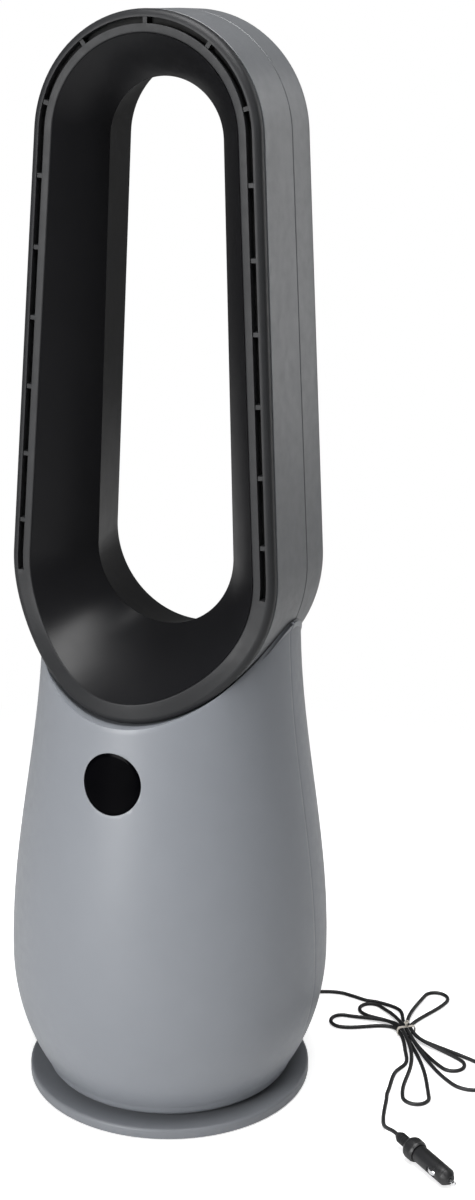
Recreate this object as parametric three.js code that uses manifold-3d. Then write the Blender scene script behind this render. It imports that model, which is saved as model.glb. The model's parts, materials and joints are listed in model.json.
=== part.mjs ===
// A tall bladeless fan: an oval air ring on a round body that swings on a base plate, with a tied 12 V lead.
// Millimetres, +Z up. The origin is the middle of the base on the floor, and the fan faces -Y.
import * as THREE from "three";
import { mergeVertices } from "three/addons/utils/BufferGeometryUtils.js";
import Module from "manifold-3d";

const wasm = await Module();
wasm.setup();

// Clearances
const seatGap = 0.3; // between pieces that touch
const runGap = 1.2; // between the impeller and what stands still round it

// Air ring: the outline is two circles joined by tangent lines, wider at the foot
const fanHeight = 1000;
const ringTopRadius = 104;
const ringFootRadius = 127;
const ringFootHeight = 398; // lowest line of the ring
const rimFrontTop = -60.3; // y of the rim's face at the top of the ring
const rimLean = 11.4; // how far the face comes forward from the top down to the foot circle
const chinReach = 39; // how much further it comes forward below that
const seamPlace = 9.4; // y of the joint between the front and rear casings
const seamGap = 1.4;
const ringRear = 62;
const rearRound = 14;
const sealDrop = 0.5; // from the casing's surface down to the seal in its joint
const casingWall = 2.6;
const casingBulge = 1; // the casing is this much fuller at the seam than at the rim

// Rim of the ring, with the outlet slots
const rimWidth = 19;
const rimThickness = 4;
const rimSkirt = 12; // how far the rim's side reaches back to the casing
const rimRound = 6;
const roundShare = 0.3; // of a rounded edge's radius, from its corner in to the middle of the round
const grooveDepth = 1.6;
const grooveWidth = 3;
const slotInset = 6.6; // from the ring's outline to the slot
const slotWidth = 5.2;
const slotPitch = 60.7;
const slotBridge = 4.2;
const slotsPerSide = 9;
const lastSlotLength = 44;

// Inner wall of the ring: a funnel in to the crease, and a band that opens out to the back
const creasePlace = -16;
const creaseTopRadius = 53;
const creaseTopDrop = 54; // from the top of the ring down to the crease
const creaseFootRadius = 67;
const creaseFootRise = 66; // from the foot of the ring up to the crease
const mouthTopRadius = 70;
const mouthTopDrop = 38;
const mouthFootRadius = 85;
const mouthFootRise = 47;
const funnelWall = 2.5;
const funnelCrown = 2.4; // the funnel wall is convex by this much

// Body
const bodyFloor = 14;
const bellyRadius = 151.5;
const bellyHeight = 134;
const bowlDepth = 183; // half height of the ellipse that shapes the bowl
const waistRadius = 118.7;
const waistHeight = 480;
const bodyWall = 3;
const floorRound = 9;
const partingPlace = -5; // y of the joint between the front and rear shells
const displayHeight = 346.5;
const displayRadius = 28;
const windowWall = 2.2;
const windowSlack = 0.4; // the window runs straight between its levels

// Floor pan and its screws
const floorLedge = 19.5; // width of the shells' floor round the pan
const panFlange = 14; // how far the pan's flange lies over that floor
const panThickness = 3;
const panSegments = 28;
const panScrewCount = 4;
const panScrewInset = 6.5; // from the pan's edge out to its screws
const panScrewHead = 3.2;
const panScrewShank = 1.6;
const panBoss = 4.6;

// Intake grille in the rear shell
const grilleHalfWidth = 104;
const grilleLow = 62;
const grilleHigh = 206;
const grilleCorner = 24;
const grilleColumns = 11;
const grilleRows = 2;
const grilleSlotWidth = 10.5;
const grilleEdge = 8;
const grilleRib = 6;

// Base
const baseRadius = 137;
const baseTop = 11;
const baseWall = 2.5;
const baseEdge = 2.5;
const footHeight = 1.2;
const footRadius = 9;
const footCircle = 108;
const footCount = 4;
const weightThickness = 3;
const weightInset = 6; // from the base's edge to the plate
const weightHole = 30;

// Swing drive
const postRadius = 18;
const postBore = 13;
const postHeight = 40;
const postFlange = 34;
const gearModule = 1.5;
const gearTeeth = 48;
const pinionTeeth = 16;
const gearWidth = 6;
const gearBacklash = 0.35;
const nutRadius = 22;
const nutHeight = 4.5;
const bearingInner = 60;
const bearingOuter = 84;
const swingMotorRadius = 23;
const swingMotorHeight = 18;
const swingPlate = 2.6;
const swingPlateHeight = 10; // from the pan to the motor's plate
const swingEarReach = 34;
const swingEarBack = 8;
const swingEarRadius = 5;
const pinionShaft = 3;

// Blower
const inletHeight = 108;
const inletRadius = 78;
const eyeRadius = 62;
const eyeHeight = 120;
const eyeFlare = 6;
const drumRadius = 84;
const drumHeight = 166; // where the housing reaches its full width
const shelfHeight = 236;
const shelfThickness = 3;
const shelfLedge = 7;
const shelfSlack = 0.5; // the hollow runs straight between its levels
const housingWall = 2.5;
const flangeWidth = 19;
const isolatorRadius = 7;
const isolatorHeight = 5;
const isolatorCount = 3;
const neckBore = 41;
const neckRadius = 45;
const coneTop = 300;
const neckStart = 312;
const neckRise = 15; // how far the neck stands up inside the ring's foot
const collarWidth = 7;
const collarThickness = 3;
const sealWall = 4;
const sealLength = 22;
const hubLow = 18;
const hubHigh = 52;
const hubWall = 3;
const bladeCount = 9;
const bladeThickness = 2.2;
const bladeSweep = 0.75; // radians from a blade's foot to its top
const vaneCount = 9;
const vaneLow = 174;
const vaneHigh = 216;
const vaneThickness = 2.4;
const vaneSweep = -0.35; // against the blades
const motorRadius = 38;
const motorLow = 176;
const motorHigh = 222;
const shaftRadius = 4;
const bearingRadius = 11;
const bearingWidth = 6;
const splitterWidth = 9;
const splitterRise = 22;

// Boards
const controlWidth = 56;
const controlDepth = 34;
const boardThickness = 1.6;
const displayBoard = 36;

// Lead: exit angle at the base, cord, hank and plug
const cordRadius = 1.9;
const cordSides = 8;
const exitAngle = THREE.MathUtils.degToRad(70);
const exitHeight = 6;
const grommetLength = 22;
const grommetRadius = 4.4;
const grommetTip = 2.9;
const cordInside = 2.1; // how far the lead starts inside the base's edge
const hankWaist = new THREE.Vector2(198, 148);
const hankHeading = THREE.MathUtils.degToRad(-53);
const strandPitch = 2.3; // across the tie, from one strand to the next
const strandLayer = 4.45; // between the middles of a strand below and one above
const strandCount = 7;
const tieHalf = 4.5; // the strands run straight this far to each side of the tie
const tieSettle = 16; // from there to where the lowest strands lie on the floor
const petalSteps = [0, 0.05, 0.12, 0.22, 0.36, 0.55, 0.78];
const bendSteps = 6;
const bendSettle = 0.6; // of a loop's end, over which the last of the height is lost
const hankSides = 6;
// Each loop of the fan: which side of the tie, its strands, its angle and length, the half width of its end,
// how far its upper strand takes to come down, and how straight it leaves the tie.
const petals = [
  { side: 1, from: 5, to: 6, angle: 19.5, length: 85, half: 12.35, settle: 55, pull: 0.93 },
  { side: -1, from: 6, to: 7, angle: 42.1, length: 94.7, half: 12.47, settle: 71.4, pull: 0.68 },
  { side: 1, from: 7, to: 4, angle: 20.1, length: 125.2, half: 24.5, settle: 83.5, pull: 0.55 },
  { side: -1, from: 4, to: 3, angle: -19.6, length: 69.9, half: 12.15, settle: 57, pull: 1.6 },
  { side: 1, from: 3, to: 2, angle: -14.9, length: 133.9, half: 12.63, settle: 80, pull: 1.6 },
  { side: -1, from: 2, to: 1, angle: -55.4, length: 80, half: 12.31, settle: 46.3, pull: 1.21 },
];
const tieWidth = 3.2;
const tieThickness = 0.8;
const tieCorner = 2.6;
const twistRadius = 1.3;
const twistHeight = 7;
const plugHeading = THREE.MathUtils.degToRad(-35);
const plugStart = new THREE.Vector2(252.5, -49);
const bootLength = 18;
const bootRadius = 5.2;
const bootTip = 3.4;
const gripLength = 14;
const gripRadius = 10.5;
const barrelLength = 39;
const barrelRadius = 8.2;
const noseLength = 6;
const noseTip = 4.6;
const pinRadius = 1.8;
const pinReach = 7;
const pinTravel = 3;
const noseWall = 2;
const pinCollar = 1.3; // thickness of the pin's collar, behind the nose's wall
const contactShare = 0.68; // of the barrel's length, to the contacts' middle
const contactLength = 11;
const contactWidth = 4.4;
const contactProud = 0.9;
const contactDepth = 2.7; // from the barrel's surface down to the strip's back
const contactTravel = 0.8;
const fuseRadius = 3;
const fuseLength = 26;

const colours = {
  casing: { color: 0x6f7174, roughness: 0.5, metalness: 0 },
  rim: { color: 0x2b2c2e, roughness: 0.45, metalness: 0 },
  funnel: { color: 0x1d1d1f, roughness: 0.4, metalness: 0 },
  body: { color: 0x85888d, roughness: 0.42, metalness: 0 },
  gloss: { color: 0x050506, roughness: 0.08, metalness: 0 },
  rubber: { color: 0x151515, roughness: 0.8, metalness: 0 },
  steel: { color: 0xb9bbbe, roughness: 0.35, metalness: 1 },
  inner: { color: 0x3a3b3d, roughness: 0.6, metalness: 0 },
  board: { color: 0x1f5a36, roughness: 0.5, metalness: 0 },
  brass: { color: 0xb08d4a, roughness: 0.35, metalness: 1 },
  tie: { color: 0xcfcabf, roughness: 0.6, metalness: 0 },
};

const fan = new THREE.Group();

function addPiece(name, shape, finish, group = fan) {
  const mesh = new THREE.Mesh(toGeometry(shape), new THREE.MeshStandardMaterial(colours[finish]));
  mesh.name = name;
  group.add(mesh);
  return mesh;
}

// Solids

function toSolid(geometry) {
  const bare = geometry.index ? geometry.toNonIndexed() : geometry.clone();
  bare.deleteAttribute("normal");
  bare.deleteAttribute("uv");
  const merged = mergeVertices(bare, 1e-4);
  const triVerts = new Uint32Array(merged.index.array);
  const vertProperties = merged.attributes.position.array;
  const solid = new wasm.Manifold(new wasm.Mesh({ numProp: 3, vertProperties, triVerts }));
  if (solid.volume() > 0) return solid;
  triVerts.reverse();
  return new wasm.Manifold(new wasm.Mesh({ numProp: 3, vertProperties, triVerts }));
}

function toGeometry(solid) {
  const { vertProperties, triVerts } = solid.getMesh();
  const geometry = new THREE.BufferGeometry();
  geometry.setAttribute("position", new THREE.BufferAttribute(vertProperties, 3));
  geometry.setIndex(new THREE.BufferAttribute(triVerts, 1));
  return geometry;
}

// A closed profile of [radius, height] points turned about Z.
function turned(points, segments = 24) {
  const profile = points.map(([radius, height]) => new THREE.Vector2(radius, height));
  if (points[0][0] > 0) profile.push(profile[0].clone());
  return toSolid(new THREE.LatheGeometry(profile, segments).rotateX(Math.PI / 2));
}

function rod(radius, low, high, x = 0, y = 0, segments = 20) {
  const geometry = new THREE.CylinderGeometry(radius, radius, high - low, segments);
  return toSolid(geometry.rotateX(Math.PI / 2).translate(x, y, (low + high) / 2));
}

function tube(outer, inner, low, high, segments = 24) {
  return turned([[inner, low], [outer, low], [outer, high], [inner, high]], segments);
}

function block(width, depth, height, x, y, z) {
  return toSolid(new THREE.BoxGeometry(width, depth, height).translate(x, y, z));
}

// A shape drawn in x and z, running along Y between two planes.
function alongY(shape, front, rear, curveSegments = 6) {
  const geometry = new THREE.ExtrudeGeometry(shape, { depth: rear - front, bevelEnabled: false, curveSegments });
  return toSolid(geometry.rotateX(Math.PI / 2).translate(0, rear, 0));
}

// A shape drawn in x and y, standing on a height.
function upright(shape, low, high, curveSegments = 6) {
  const geometry = new THREE.ExtrudeGeometry(shape, { depth: high - low, bevelEnabled: false, curveSegments });
  return toSolid(geometry.translate(0, 0, low));
}

function roundedRectangle(left, right, low, high, corner) {
  const shape = new THREE.Shape();
  shape.absarc(right - corner, high - corner, corner, 0, Math.PI / 2);
  shape.absarc(left + corner, high - corner, corner, Math.PI / 2, Math.PI);
  shape.absarc(left + corner, low + corner, corner, Math.PI, Math.PI * 1.5);
  shape.absarc(right - corner, low + corner, corner, Math.PI * 1.5, Math.PI * 2);
  return shape;
}

function joined(solids) {
  return solids.reduce((whole, solid) => whole.add(solid));
}

function onCircle(count, radius, turn = 0) {
  return Array.from({ length: count }, (_, index) => {
    const angle = turn + (index * 2 * Math.PI) / count;
    return new THREE.Vector2(radius * Math.cos(angle), radius * Math.sin(angle));
  });
}

// Ring outlines: a top circle and a foot circle joined by tangents, in x and z

function outline(topRadius, topDrop, footRadius, footRise) {
  return {
    topRadius,
    footRadius,
    topCentre: fanHeight - topDrop - topRadius,
    footCentre: ringFootHeight + footRise + footRadius,
  };
}

function inset(line, distance) {
  return { ...line, topRadius: line.topRadius - distance, footRadius: line.footRadius - distance };
}

const saddleGap = casingBulge + seatGap; // between the body and the rim's outline
const ringLine = outline(ringTopRadius, 0, ringFootRadius, 0);
const creaseLine = outline(creaseTopRadius, creaseTopDrop, creaseFootRadius, creaseFootRise);
const mouthLine = outline(mouthTopRadius, mouthTopDrop, mouthFootRadius, mouthFootRise);

function tangentAngle(line) {
  return Math.asin((line.footRadius - line.topRadius) / (line.topCentre - line.footCentre));
}

// The point of an outline at a place: on the top arc, down the left, round the foot or up the right.
function outlinePoint(line, { part, share }) {
  const tilt = tangentAngle(line);
  const topPoint = (angle) => [line.topRadius * Math.cos(angle), line.topCentre + line.topRadius * Math.sin(angle)];
  const footPoint = (angle) => [
    line.footRadius * Math.cos(angle),
    line.footCentre + line.footRadius * Math.sin(angle),
  ];
  if (part === "top") return topPoint(tilt + (Math.PI - 2 * tilt) * share);
  if (part === "foot") return footPoint(Math.PI - tilt + (Math.PI + 2 * tilt) * share);
  const side = part === "left" ? Math.PI - tilt : tilt;
  const [fromX, fromZ] = part === "left" ? topPoint(side) : footPoint(side);
  const [toX, toZ] = part === "left" ? footPoint(side) : topPoint(side);
  return [fromX + (toX - fromX) * share, fromZ + (toZ - fromZ) * share];
}

const topSteps = 14;
const footSteps = 20;
const sideSteps = 2;

const ringPlaces = [
  ["top", topSteps],
  ["left", sideSteps],
  ["foot", footSteps],
  ["right", sideSteps],
].flatMap(([part, steps]) => Array.from({ length: steps }, (_, index) => ({ part, share: index / steps })));

// How far the front of the ring stands forward of its top, at a place.
function forwardShift(place) {
  const [, height] = outlinePoint(ringLine, place);
  const fallen = (fanHeight - height) / (fanHeight - ringLine.footCentre);
  const below = Math.max(0, (ringLine.footCentre - height) / ringLine.footRadius);
  return rimLean * Math.min(fallen, 1.27) + chinReach * below ** 3;
}

// A section carried along places. Each corner is [outline, y, share of the forward shift].
function swept(section, places, closed) {
  const positions = [];
  for (const place of places) {
    for (const [line, y, forward] of section) {
      const [x, z] = outlinePoint(line, place);
      positions.push(x, y - forward * forwardShift(place), z);
    }
  }
  const corners = section.length;
  const rows = places.length;
  const index = [];
  for (let row = 0; row < (closed ? rows : rows - 1); row++) {
    for (let corner = 0; corner < corners; corner++) {
      const here = row * corners + corner;
      const beside = row * corners + ((corner + 1) % corners);
      const next = ((row + 1) % rows) * corners + corner;
      const nextBeside = ((row + 1) % rows) * corners + ((corner + 1) % corners);
      index.push(here, beside, nextBeside, here, nextBeside, next);
    }
  }
  if (!closed) {
    const last = (rows - 1) * corners;
    for (let corner = 1; corner < corners - 1; corner++) {
      index.push(0, corner + 1, corner, last, last + corner, last + corner + 1);
    }
  }
  const geometry = new THREE.BufferGeometry();
  geometry.setAttribute("position", new THREE.Float32BufferAttribute(positions, 3));
  geometry.setIndex(index);
  return toSolid(geometry);
}

function ringPiece(section) {
  return swept(section, ringPlaces, true);
}

// The ring's outline as a solid that runs along Y, grown by a margin.
function ringBlock(margin) {
  const shape = new THREE.Shape();
  const grown = inset(ringLine, -margin);
  shape.setFromPoints(ringPlaces.map((place) => new THREE.Vector2(...outlinePoint(grown, place))));
  const beyond = bellyRadius * 1.5;
  return alongY(shape, -beyond, beyond);
}

// Air ring

// Places by distance along the slots' own line, from the top centre down one side.
const slotLine = inset(ringLine, slotInset + slotWidth / 2);
const slotTilt = tangentAngle(slotLine);
const slotTopArc = slotLine.topRadius * (Math.PI / 2 - slotTilt);
const slotSide = Math.hypot(
  slotLine.topCentre - slotLine.footCentre,
  slotLine.footRadius - slotLine.topRadius,
) * Math.cos(slotTilt);

function slotPlace(distance, side) {
  const mirrored = (part, share) =>
    side > 0 ? { part, share } : { part: part === "right" ? "left" : part, share: 1 - share };
  if (distance < slotTopArc) return mirrored("top", 0.5 - distance / slotTopArc / 2);
  if (distance < slotTopArc + slotSide) return mirrored("right", 1 - (distance - slotTopArc) / slotSide);
  const turn = (distance - slotTopArc - slotSide) / slotLine.footRadius;
  return mirrored("foot", 1 - turn / (Math.PI + 2 * slotTilt));
}

function outletSlot(from, to, side) {
  const steps = to < slotTopArc || from > slotTopArc + slotSide - slotPitch ? 3 : 1;
  const front = rimFrontTop - rimThickness;
  const rear = rimFrontTop + 2 * rimThickness;
  const outer = inset(ringLine, slotInset);
  const inner = inset(ringLine, slotInset + slotWidth);
  const section = [[outer, front, 1], [inner, front, 1], [inner, rear, 1], [outer, rear, 1]];
  const breaks = [slotTopArc, slotTopArc + slotSide].filter((distance) => distance > from && distance < to);
  const even = Array.from({ length: steps + 1 }, (_, step) => from + ((to - from) * step) / steps);
  const distances = [...even, ...breaks].sort((a, b) => a - b);
  return swept(section, distances.map((distance) => slotPlace(distance, side)), false);
}

function makeRim() {
  const face = rimFrontTop;
  const groove = face + rimSkirt - grooveWidth;
  const rear = face + rimSkirt;
  const at = (distance, y) => [inset(ringLine, distance), y, 1];
  const rim = ringPiece([
    at(rimRound, face),
    at(rimRound * roundShare, face + rimRound * roundShare),
    at(0, face + rimRound),
    at(0, groove),
    at(grooveDepth, groove),
    at(grooveDepth, rear),
    at(grooveDepth + casingWall, rear),
    at(grooveDepth + casingWall, face + rimThickness + 1),
    at(rimWidth, face + rimThickness),
    at(rimWidth, face + 1),
    at(rimWidth - 1, face),
  ]);
  const slots = [-1, 1].flatMap((side) =>
    Array.from({ length: slotsPerSide }, (_, index) => {
      const from = index * slotPitch + slotBridge / 2;
      const length = index === slotsPerSide - 1 ? lastSlotLength : slotPitch - slotBridge;
      return outletSlot(from, from + length, side);
    }),
  );
  return slots.reduce((whole, slot) => whole.subtract(slot), rim);
}

const neckHoleRadius = neckRadius + seatGap;
const neckTop = ringFootHeight + neckRise;
const neckHole = rod(neckHoleRadius, ringFootHeight - bellyRadius, neckTop + seatGap, 0, 0, 24);
const seamFront = seamPlace - seamGap / 2;
const seamRear = seamPlace + seamGap / 2;

function makeFrontCasing() {
  const front = rimFrontTop + rimSkirt + seatGap;
  const shell = ringPiece([
    [ringLine, front, 1],
    [inset(ringLine, -casingBulge), seamFront, 0],
    [inset(ringLine, casingWall - casingBulge), seamFront, 0],
    [inset(ringLine, casingWall), front, 1],
  ]);
  return shell.subtract(neckHole);
}

function makeRearCasing() {
  const mouthEdge = inset(mouthLine, -funnelWall - seatGap);
  const outer = (distance, y) => [inset(ringLine, distance), y, 0];
  const shell = ringPiece([
    outer(-casingBulge, seamRear),
    outer(-casingBulge, ringRear - rearRound),
    outer(rearRound * roundShare - casingBulge, ringRear - rearRound * roundShare),
    outer(rearRound - casingBulge, ringRear),
    [mouthEdge, ringRear, 0],
    [mouthEdge, ringRear - casingWall, 0],
    outer(rearRound, ringRear - casingWall),
    outer(rearRound * roundShare + casingWall - casingBulge, ringRear - casingWall - rearRound * roundShare),
    outer(casingWall - casingBulge, ringRear - casingWall - rearRound),
    outer(casingWall - casingBulge, seamRear),
  ]);
  return shell.subtract(neckHole);
}

function makeSeamSeal() {
  const front = seamFront + seatGap;
  const rear = seamRear - seatGap;
  const outer = inset(ringLine, sealDrop - casingBulge);
  const inner = inset(ringLine, casingWall - casingBulge);
  return ringPiece([[outer, front, 0], [outer, rear, 0], [inner, rear, 0], [inner, front, 0]]).subtract(neckHole);
}

// Halfway between the rim's inner edge and the crease, pushed out by the crown.
function funnelMiddle(offset) {
  const from = inset(ringLine, rimWidth);
  const mix = (key) => (from[key] + creaseLine[key]) / 2 - funnelCrown + offset;
  return {
    topRadius: mix("topRadius"),
    footRadius: mix("footRadius"),
    topCentre: (from.topCentre + creaseLine.topCentre) / 2,
    footCentre: (from.footCentre + creaseLine.footCentre) / 2,
  };
}

function makeFunnel() {
  const edge = inset(ringLine, rimWidth + seatGap);
  const middle = (rimFrontTop + creasePlace) / 2;
  return ringPiece([
    [edge, rimFrontTop + 0.6, 1],
    [funnelMiddle(0), middle, 0.5],
    [creaseLine, creasePlace, 0],
    [inset(creaseLine, -funnelWall), creasePlace + funnelWall * 0.8, 0],
    [funnelMiddle(funnelWall), middle + funnelWall, 0.5],
    [edge, rimFrontTop + rimThickness + 1, 1],
  ]);
}

function makeRearBand() {
  const front = creasePlace + seatGap;
  return ringPiece([
    [creaseLine, front, 0],
    [mouthLine, ringRear, 0],
    [inset(mouthLine, -funnelWall), ringRear, 0],
    [inset(creaseLine, -funnelWall), front + funnelWall * 0.8, 0],
  ]);
}

addPiece("air_outlet_rim", makeRim(), "rim");
addPiece("ring_front_casing", makeFrontCasing(), "casing");
addPiece("ring_rear_casing", makeRearCasing(), "casing");
addPiece("ring_seam_seal", makeSeamSeal(), "rubber");
addPiece("ring_funnel", makeFunnel(), "funnel");
addPiece("ring_rear_band", makeRearBand(), "funnel");

// Body shells

const bodySegments = 36;
const innerSegments = 24; // of the hollow inside the body and what fits in it

function bodyRadius(height) {
  if (height < bellyHeight) return bellyRadius * Math.sqrt(1 - ((bellyHeight - height) / bowlDepth) ** 2);
  const share = Math.min(1, (height - bellyHeight) / (waistHeight - bellyHeight));
  return waistRadius + ((bellyRadius - waistRadius) * (1 + Math.cos(Math.PI * share))) / 2;
}

// The body as a turned solid, shrunk by a wall, with a rounded edge at its floor.
function bodyBlank(wall, levels = 7, segments = innerSegments) {
  const low = bodyFloor + wall;
  const high = waistHeight + 10;
  const roundSteps = 2;
  const points = [[0, low]];
  for (let step = 0; step <= roundSteps; step++) {
    const angle = (step / roundSteps) * (Math.PI / 2);
    const radius = bodyRadius(bodyFloor + floorRound) - floorRound * (1 - Math.sin(angle)) - wall;
    points.push([radius, low + (floorRound - wall * 0.5) * (1 - Math.cos(angle))]);
  }
  const start = bodyFloor + floorRound + wall;
  for (let level = 1; level <= levels; level++) {
    const height = start + (high - start) * (level / levels) ** 1.25;
    points.push([bodyRadius(height) - wall, height]);
  }
  points.push([0, high]);
  return turned(points, segments);
}

const bodyOuter = bodyBlank(0, 9, bodySegments);
const bodyInner = bodyBlank(bodyWall);
const panRadius = bodyRadius(bodyFloor + floorRound) - floorRound - floorLedge;
const screwPlaces = onCircle(panScrewCount, panRadius + panScrewInset, Math.PI / 4);
const shelfRadius = (height) => bodyRadius(height) - bodyWall - seatGap - shelfSlack;
const panTop = bodyFloor + bodyWall + seatGap + panThickness;
const grilleShape = (margin) =>
  roundedRectangle(
    margin - grilleHalfWidth,
    grilleHalfWidth - margin,
    grilleLow + margin,
    grilleHigh - margin,
    grilleCorner - margin,
  );

function makeBodyWhole() {
  const wall = bodyOuter.subtract(bodyInner);
  const saddle = bodyOuter.intersect(ringBlock(saddleGap + bodyWall));
  const ledgeTop = shelfHeight - seatGap;
  const ledge = turned([
    [shelfRadius(ledgeTop) - shelfLedge, ledgeTop],
    [bodyRadius(ledgeTop) - bodyWall / 2, ledgeTop],
    [bodyRadius(ledgeTop) - bodyWall / 2, ledgeTop - shelfLedge * 1.5],
    [shelfRadius(ledgeTop) - shelfLedge, ledgeTop - bodyWall],
  ], innerSegments);
  const screwHoles = screwPlaces.flatMap(({ x, y }) => [
    rod(panScrewShank + seatGap, bodyFloor - 1, bodyFloor + bodyWall + 1, x, y, 8),
    rod(panScrewHead + seatGap, bodyFloor - 1, bodyFloor + bodyWall * 0.55, x, y, 10),
  ]);
  return joined([wall, saddle, ledge])
    .subtract(ringBlock(saddleGap))
    .subtract(neckHole)
    .subtract(rod(panRadius + seatGap, 0, bodyFloor + bodyWall + 1, 0, 0, panSegments))
    .subtract(joined(screwHoles));
}

const displayBore = (radius) =>
  toSolid(new THREE.CylinderGeometry(radius, radius, bellyRadius, 40).translate(0, -bellyRadius, displayHeight));

const frontHalf = block(4 * bellyRadius, 4 * bellyRadius, 2 * fanHeight, 0, partingPlace - 2 * bellyRadius, 0);
const rearHalf = block(
  4 * bellyRadius, 4 * bellyRadius, 2 * fanHeight, 0, partingPlace + seatGap + 2 * bellyRadius, 0,
);
const bodyWhole = makeBodyWhole();
const grilleHole = alongY(grilleShape(0), partingPlace + 2, 2 * bellyRadius);
addPiece("body_front_shell", bodyWhole.intersect(frontHalf).subtract(displayBore(displayRadius)), "body");
addPiece("body_rear_shell", bodyWhole.intersect(rearHalf).subtract(grilleHole), "body");

function makeGrille() {
  const panel = bodyOuter.subtract(bodyInner).intersect(alongY(grilleShape(seatGap), 0, 2 * bellyRadius));
  const width = 2 * (grilleHalfWidth - grilleEdge);
  const height = grilleHigh - grilleLow - 2 * grilleEdge;
  const slotHeight = (height - (grilleRows - 1) * grilleRib) / grilleRows;
  const slots = [];
  for (let column = 0; column < grilleColumns; column++) {
    const x = -width / 2 + (width * (column + 0.5)) / grilleColumns;
    for (let row = 0; row < grilleRows; row++) {
      const z = grilleLow + grilleEdge + slotHeight / 2 + row * (slotHeight + grilleRib);
      const cornerOut = Math.abs(x) > grilleHalfWidth - grilleCorner && (row === 0 || row === grilleRows - 1);
      if (!cornerOut) slots.push(block(grilleSlotWidth, 2 * bellyRadius, slotHeight, x, bellyRadius + 1, z));
    }
  }
  return panel.subtract(joined(slots));
}

function makeDisplayWindow() {
  return bodyOuter.subtract(bodyBlank(windowWall, 9, bodySegments)).intersect(displayBore(displayRadius - seatGap));
}

addPiece("intake_grille", makeGrille(), "inner");
addPiece("display_window", makeDisplayWindow(), "gloss");

// The board stands behind the window, as near as the window's curve lets its edges come.
const boardEdge = displayBoard / 2;
const windowInner = bodyRadius(displayHeight + boardEdge) - windowWall - windowSlack;
const boardFront = seatGap - Math.sqrt(windowInner ** 2 - boardEdge ** 2);
addPiece(
  "display_board",
  block(displayBoard, boardThickness, displayBoard, 0, boardFront + boardThickness / 2, displayHeight).add(
    block(displayBoard * 0.6, 4, displayBoard * 0.4, 0, boardFront + boardThickness + 2 - 0.1, displayHeight),
  ),
  "board",
);

// Floor pan, screws and swing drive

const gearCentre = (gearModule * (gearTeeth + pinionTeeth)) / 2;
const plateLow = panTop + swingPlateHeight;
const earPlaces = [-1, 1].map((side) => new THREE.Vector2(side * swingEarReach, gearCentre + swingEarBack));

function makePan() {
  const disc = turned([
    [postRadius + seatGap, bodyFloor],
    [panRadius, bodyFloor],
    [panRadius, bodyFloor + bodyWall + seatGap],
    [panRadius + panFlange, bodyFloor + bodyWall + seatGap],
    [panRadius + panFlange, panTop],
    [postRadius + seatGap, panTop],
  ], panSegments);
  const screwBosses = screwPlaces.map(({ x, y }) => rod(panBoss, panTop - 1, panTop + 8, x, y, 8));
  const earBosses = earPlaces.map(({ x, y }) => rod(swingEarRadius, panTop - 1, plateLow - seatGap, x, y, 10));
  const holes = screwPlaces.map(({ x, y }) => rod(panScrewShank + seatGap, bodyFloor - 1, panTop + 6, x, y, 8));
  return joined([disc, ...screwBosses, ...earBosses]).subtract(joined(holes));
}

function makePanScrew({ x, y }) {
  const headTop = bodyFloor + bodyWall * 0.55 - seatGap;
  return rod(panScrewHead, bodyFloor, headTop, x, y, 10).add(
    rod(panScrewShank, bodyFloor + 0.5, panTop + 6 - seatGap, x, y, 8),
  );
}

addPiece("body_floor_pan", makePan(), "inner");
screwPlaces.forEach((place, index) => addPiece(`pan_screw_${index + 1}`, makePanScrew(place), "steel"));

// A spur gear outline with involute flanks.
function gearShape(teeth, bore, turn) {
  const pressure = THREE.MathUtils.degToRad(20);
  const pitch = (gearModule * teeth) / 2;
  const baseCircle = pitch * Math.cos(pressure);
  const tip = pitch + gearModule;
  const root = pitch - 1.25 * gearModule;
  const involute = (angle) => Math.tan(angle) - angle;
  const halfTooth = (radius) => {
    const angle = radius > baseCircle ? Math.acos(baseCircle / radius) : 0; // no involute inside the base circle
    return Math.PI / (2 * teeth) - gearBacklash / (2 * pitch) + involute(pressure) - involute(angle);
  };
  const radii = [root, tip];
  const points = [];
  for (let tooth = 0; tooth < teeth; tooth++) {
    const middle = turn + (tooth * 2 * Math.PI) / teeth;
    const flank = (radius, side) => {
      const angle = middle + side * halfTooth(radius);
      points.push(new THREE.Vector2(radius * Math.cos(angle), radius * Math.sin(angle)));
    };
    radii.forEach((radius) => flank(radius, -1));
    [...radii].reverse().forEach((radius) => flank(radius, 1));
  }
  const shape = new THREE.Shape(points);
  if (bore > 0) shape.holes.push(new THREE.Path().absarc(0, 0, bore, 0, Math.PI * 2));
  return shape;
}

const gearLow = panTop + seatGap;
const gearHigh = gearLow + gearWidth;
const pinionLow = gearLow + seatGap;
const motorFloor = plateLow + swingPlate;

function makePinion() {
  const shaftTop = motorFloor + swingMotorHeight / 2;
  const gap = Math.PI / pinionTeeth;
  const gear = upright(gearShape(pinionTeeth, 0, -Math.PI / 2 + gap), pinionLow, gearHigh - seatGap);
  return gear.add(rod(pinionShaft, pinionLow, shaftTop, 0, 0, 20)).translate(0, gearCentre, 0);
}

function makeSwingMotor() {
  const can = rod(swingMotorRadius, plateLow, motorFloor + swingMotorHeight, 0, gearCentre, 36);
  const ears = earPlaces.map(({ x, y }) => rod(swingEarRadius, plateLow, motorFloor, x, y, 20));
  const bridge = block(
    2 * swingEarReach, swingEarRadius * 2, swingPlate, 0, earPlaces[0].y, plateLow + swingPlate / 2,
  );
  const bore = rod(
    pinionShaft + seatGap, plateLow - 1, motorFloor + swingMotorHeight / 2 + seatGap, 0, gearCentre, 20,
  );
  return joined([can, bridge, ...ears]).subtract(bore);
}

addPiece("swing_motor", makeSwingMotor(), "steel");
addPiece("swing_pinion", makePinion(), "brass");
const swingGear = gearShape(gearTeeth, postRadius + seatGap, Math.PI / 2);
addPiece("swing_gear", upright(swingGear, gearLow, gearHigh, 12), "inner");

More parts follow.
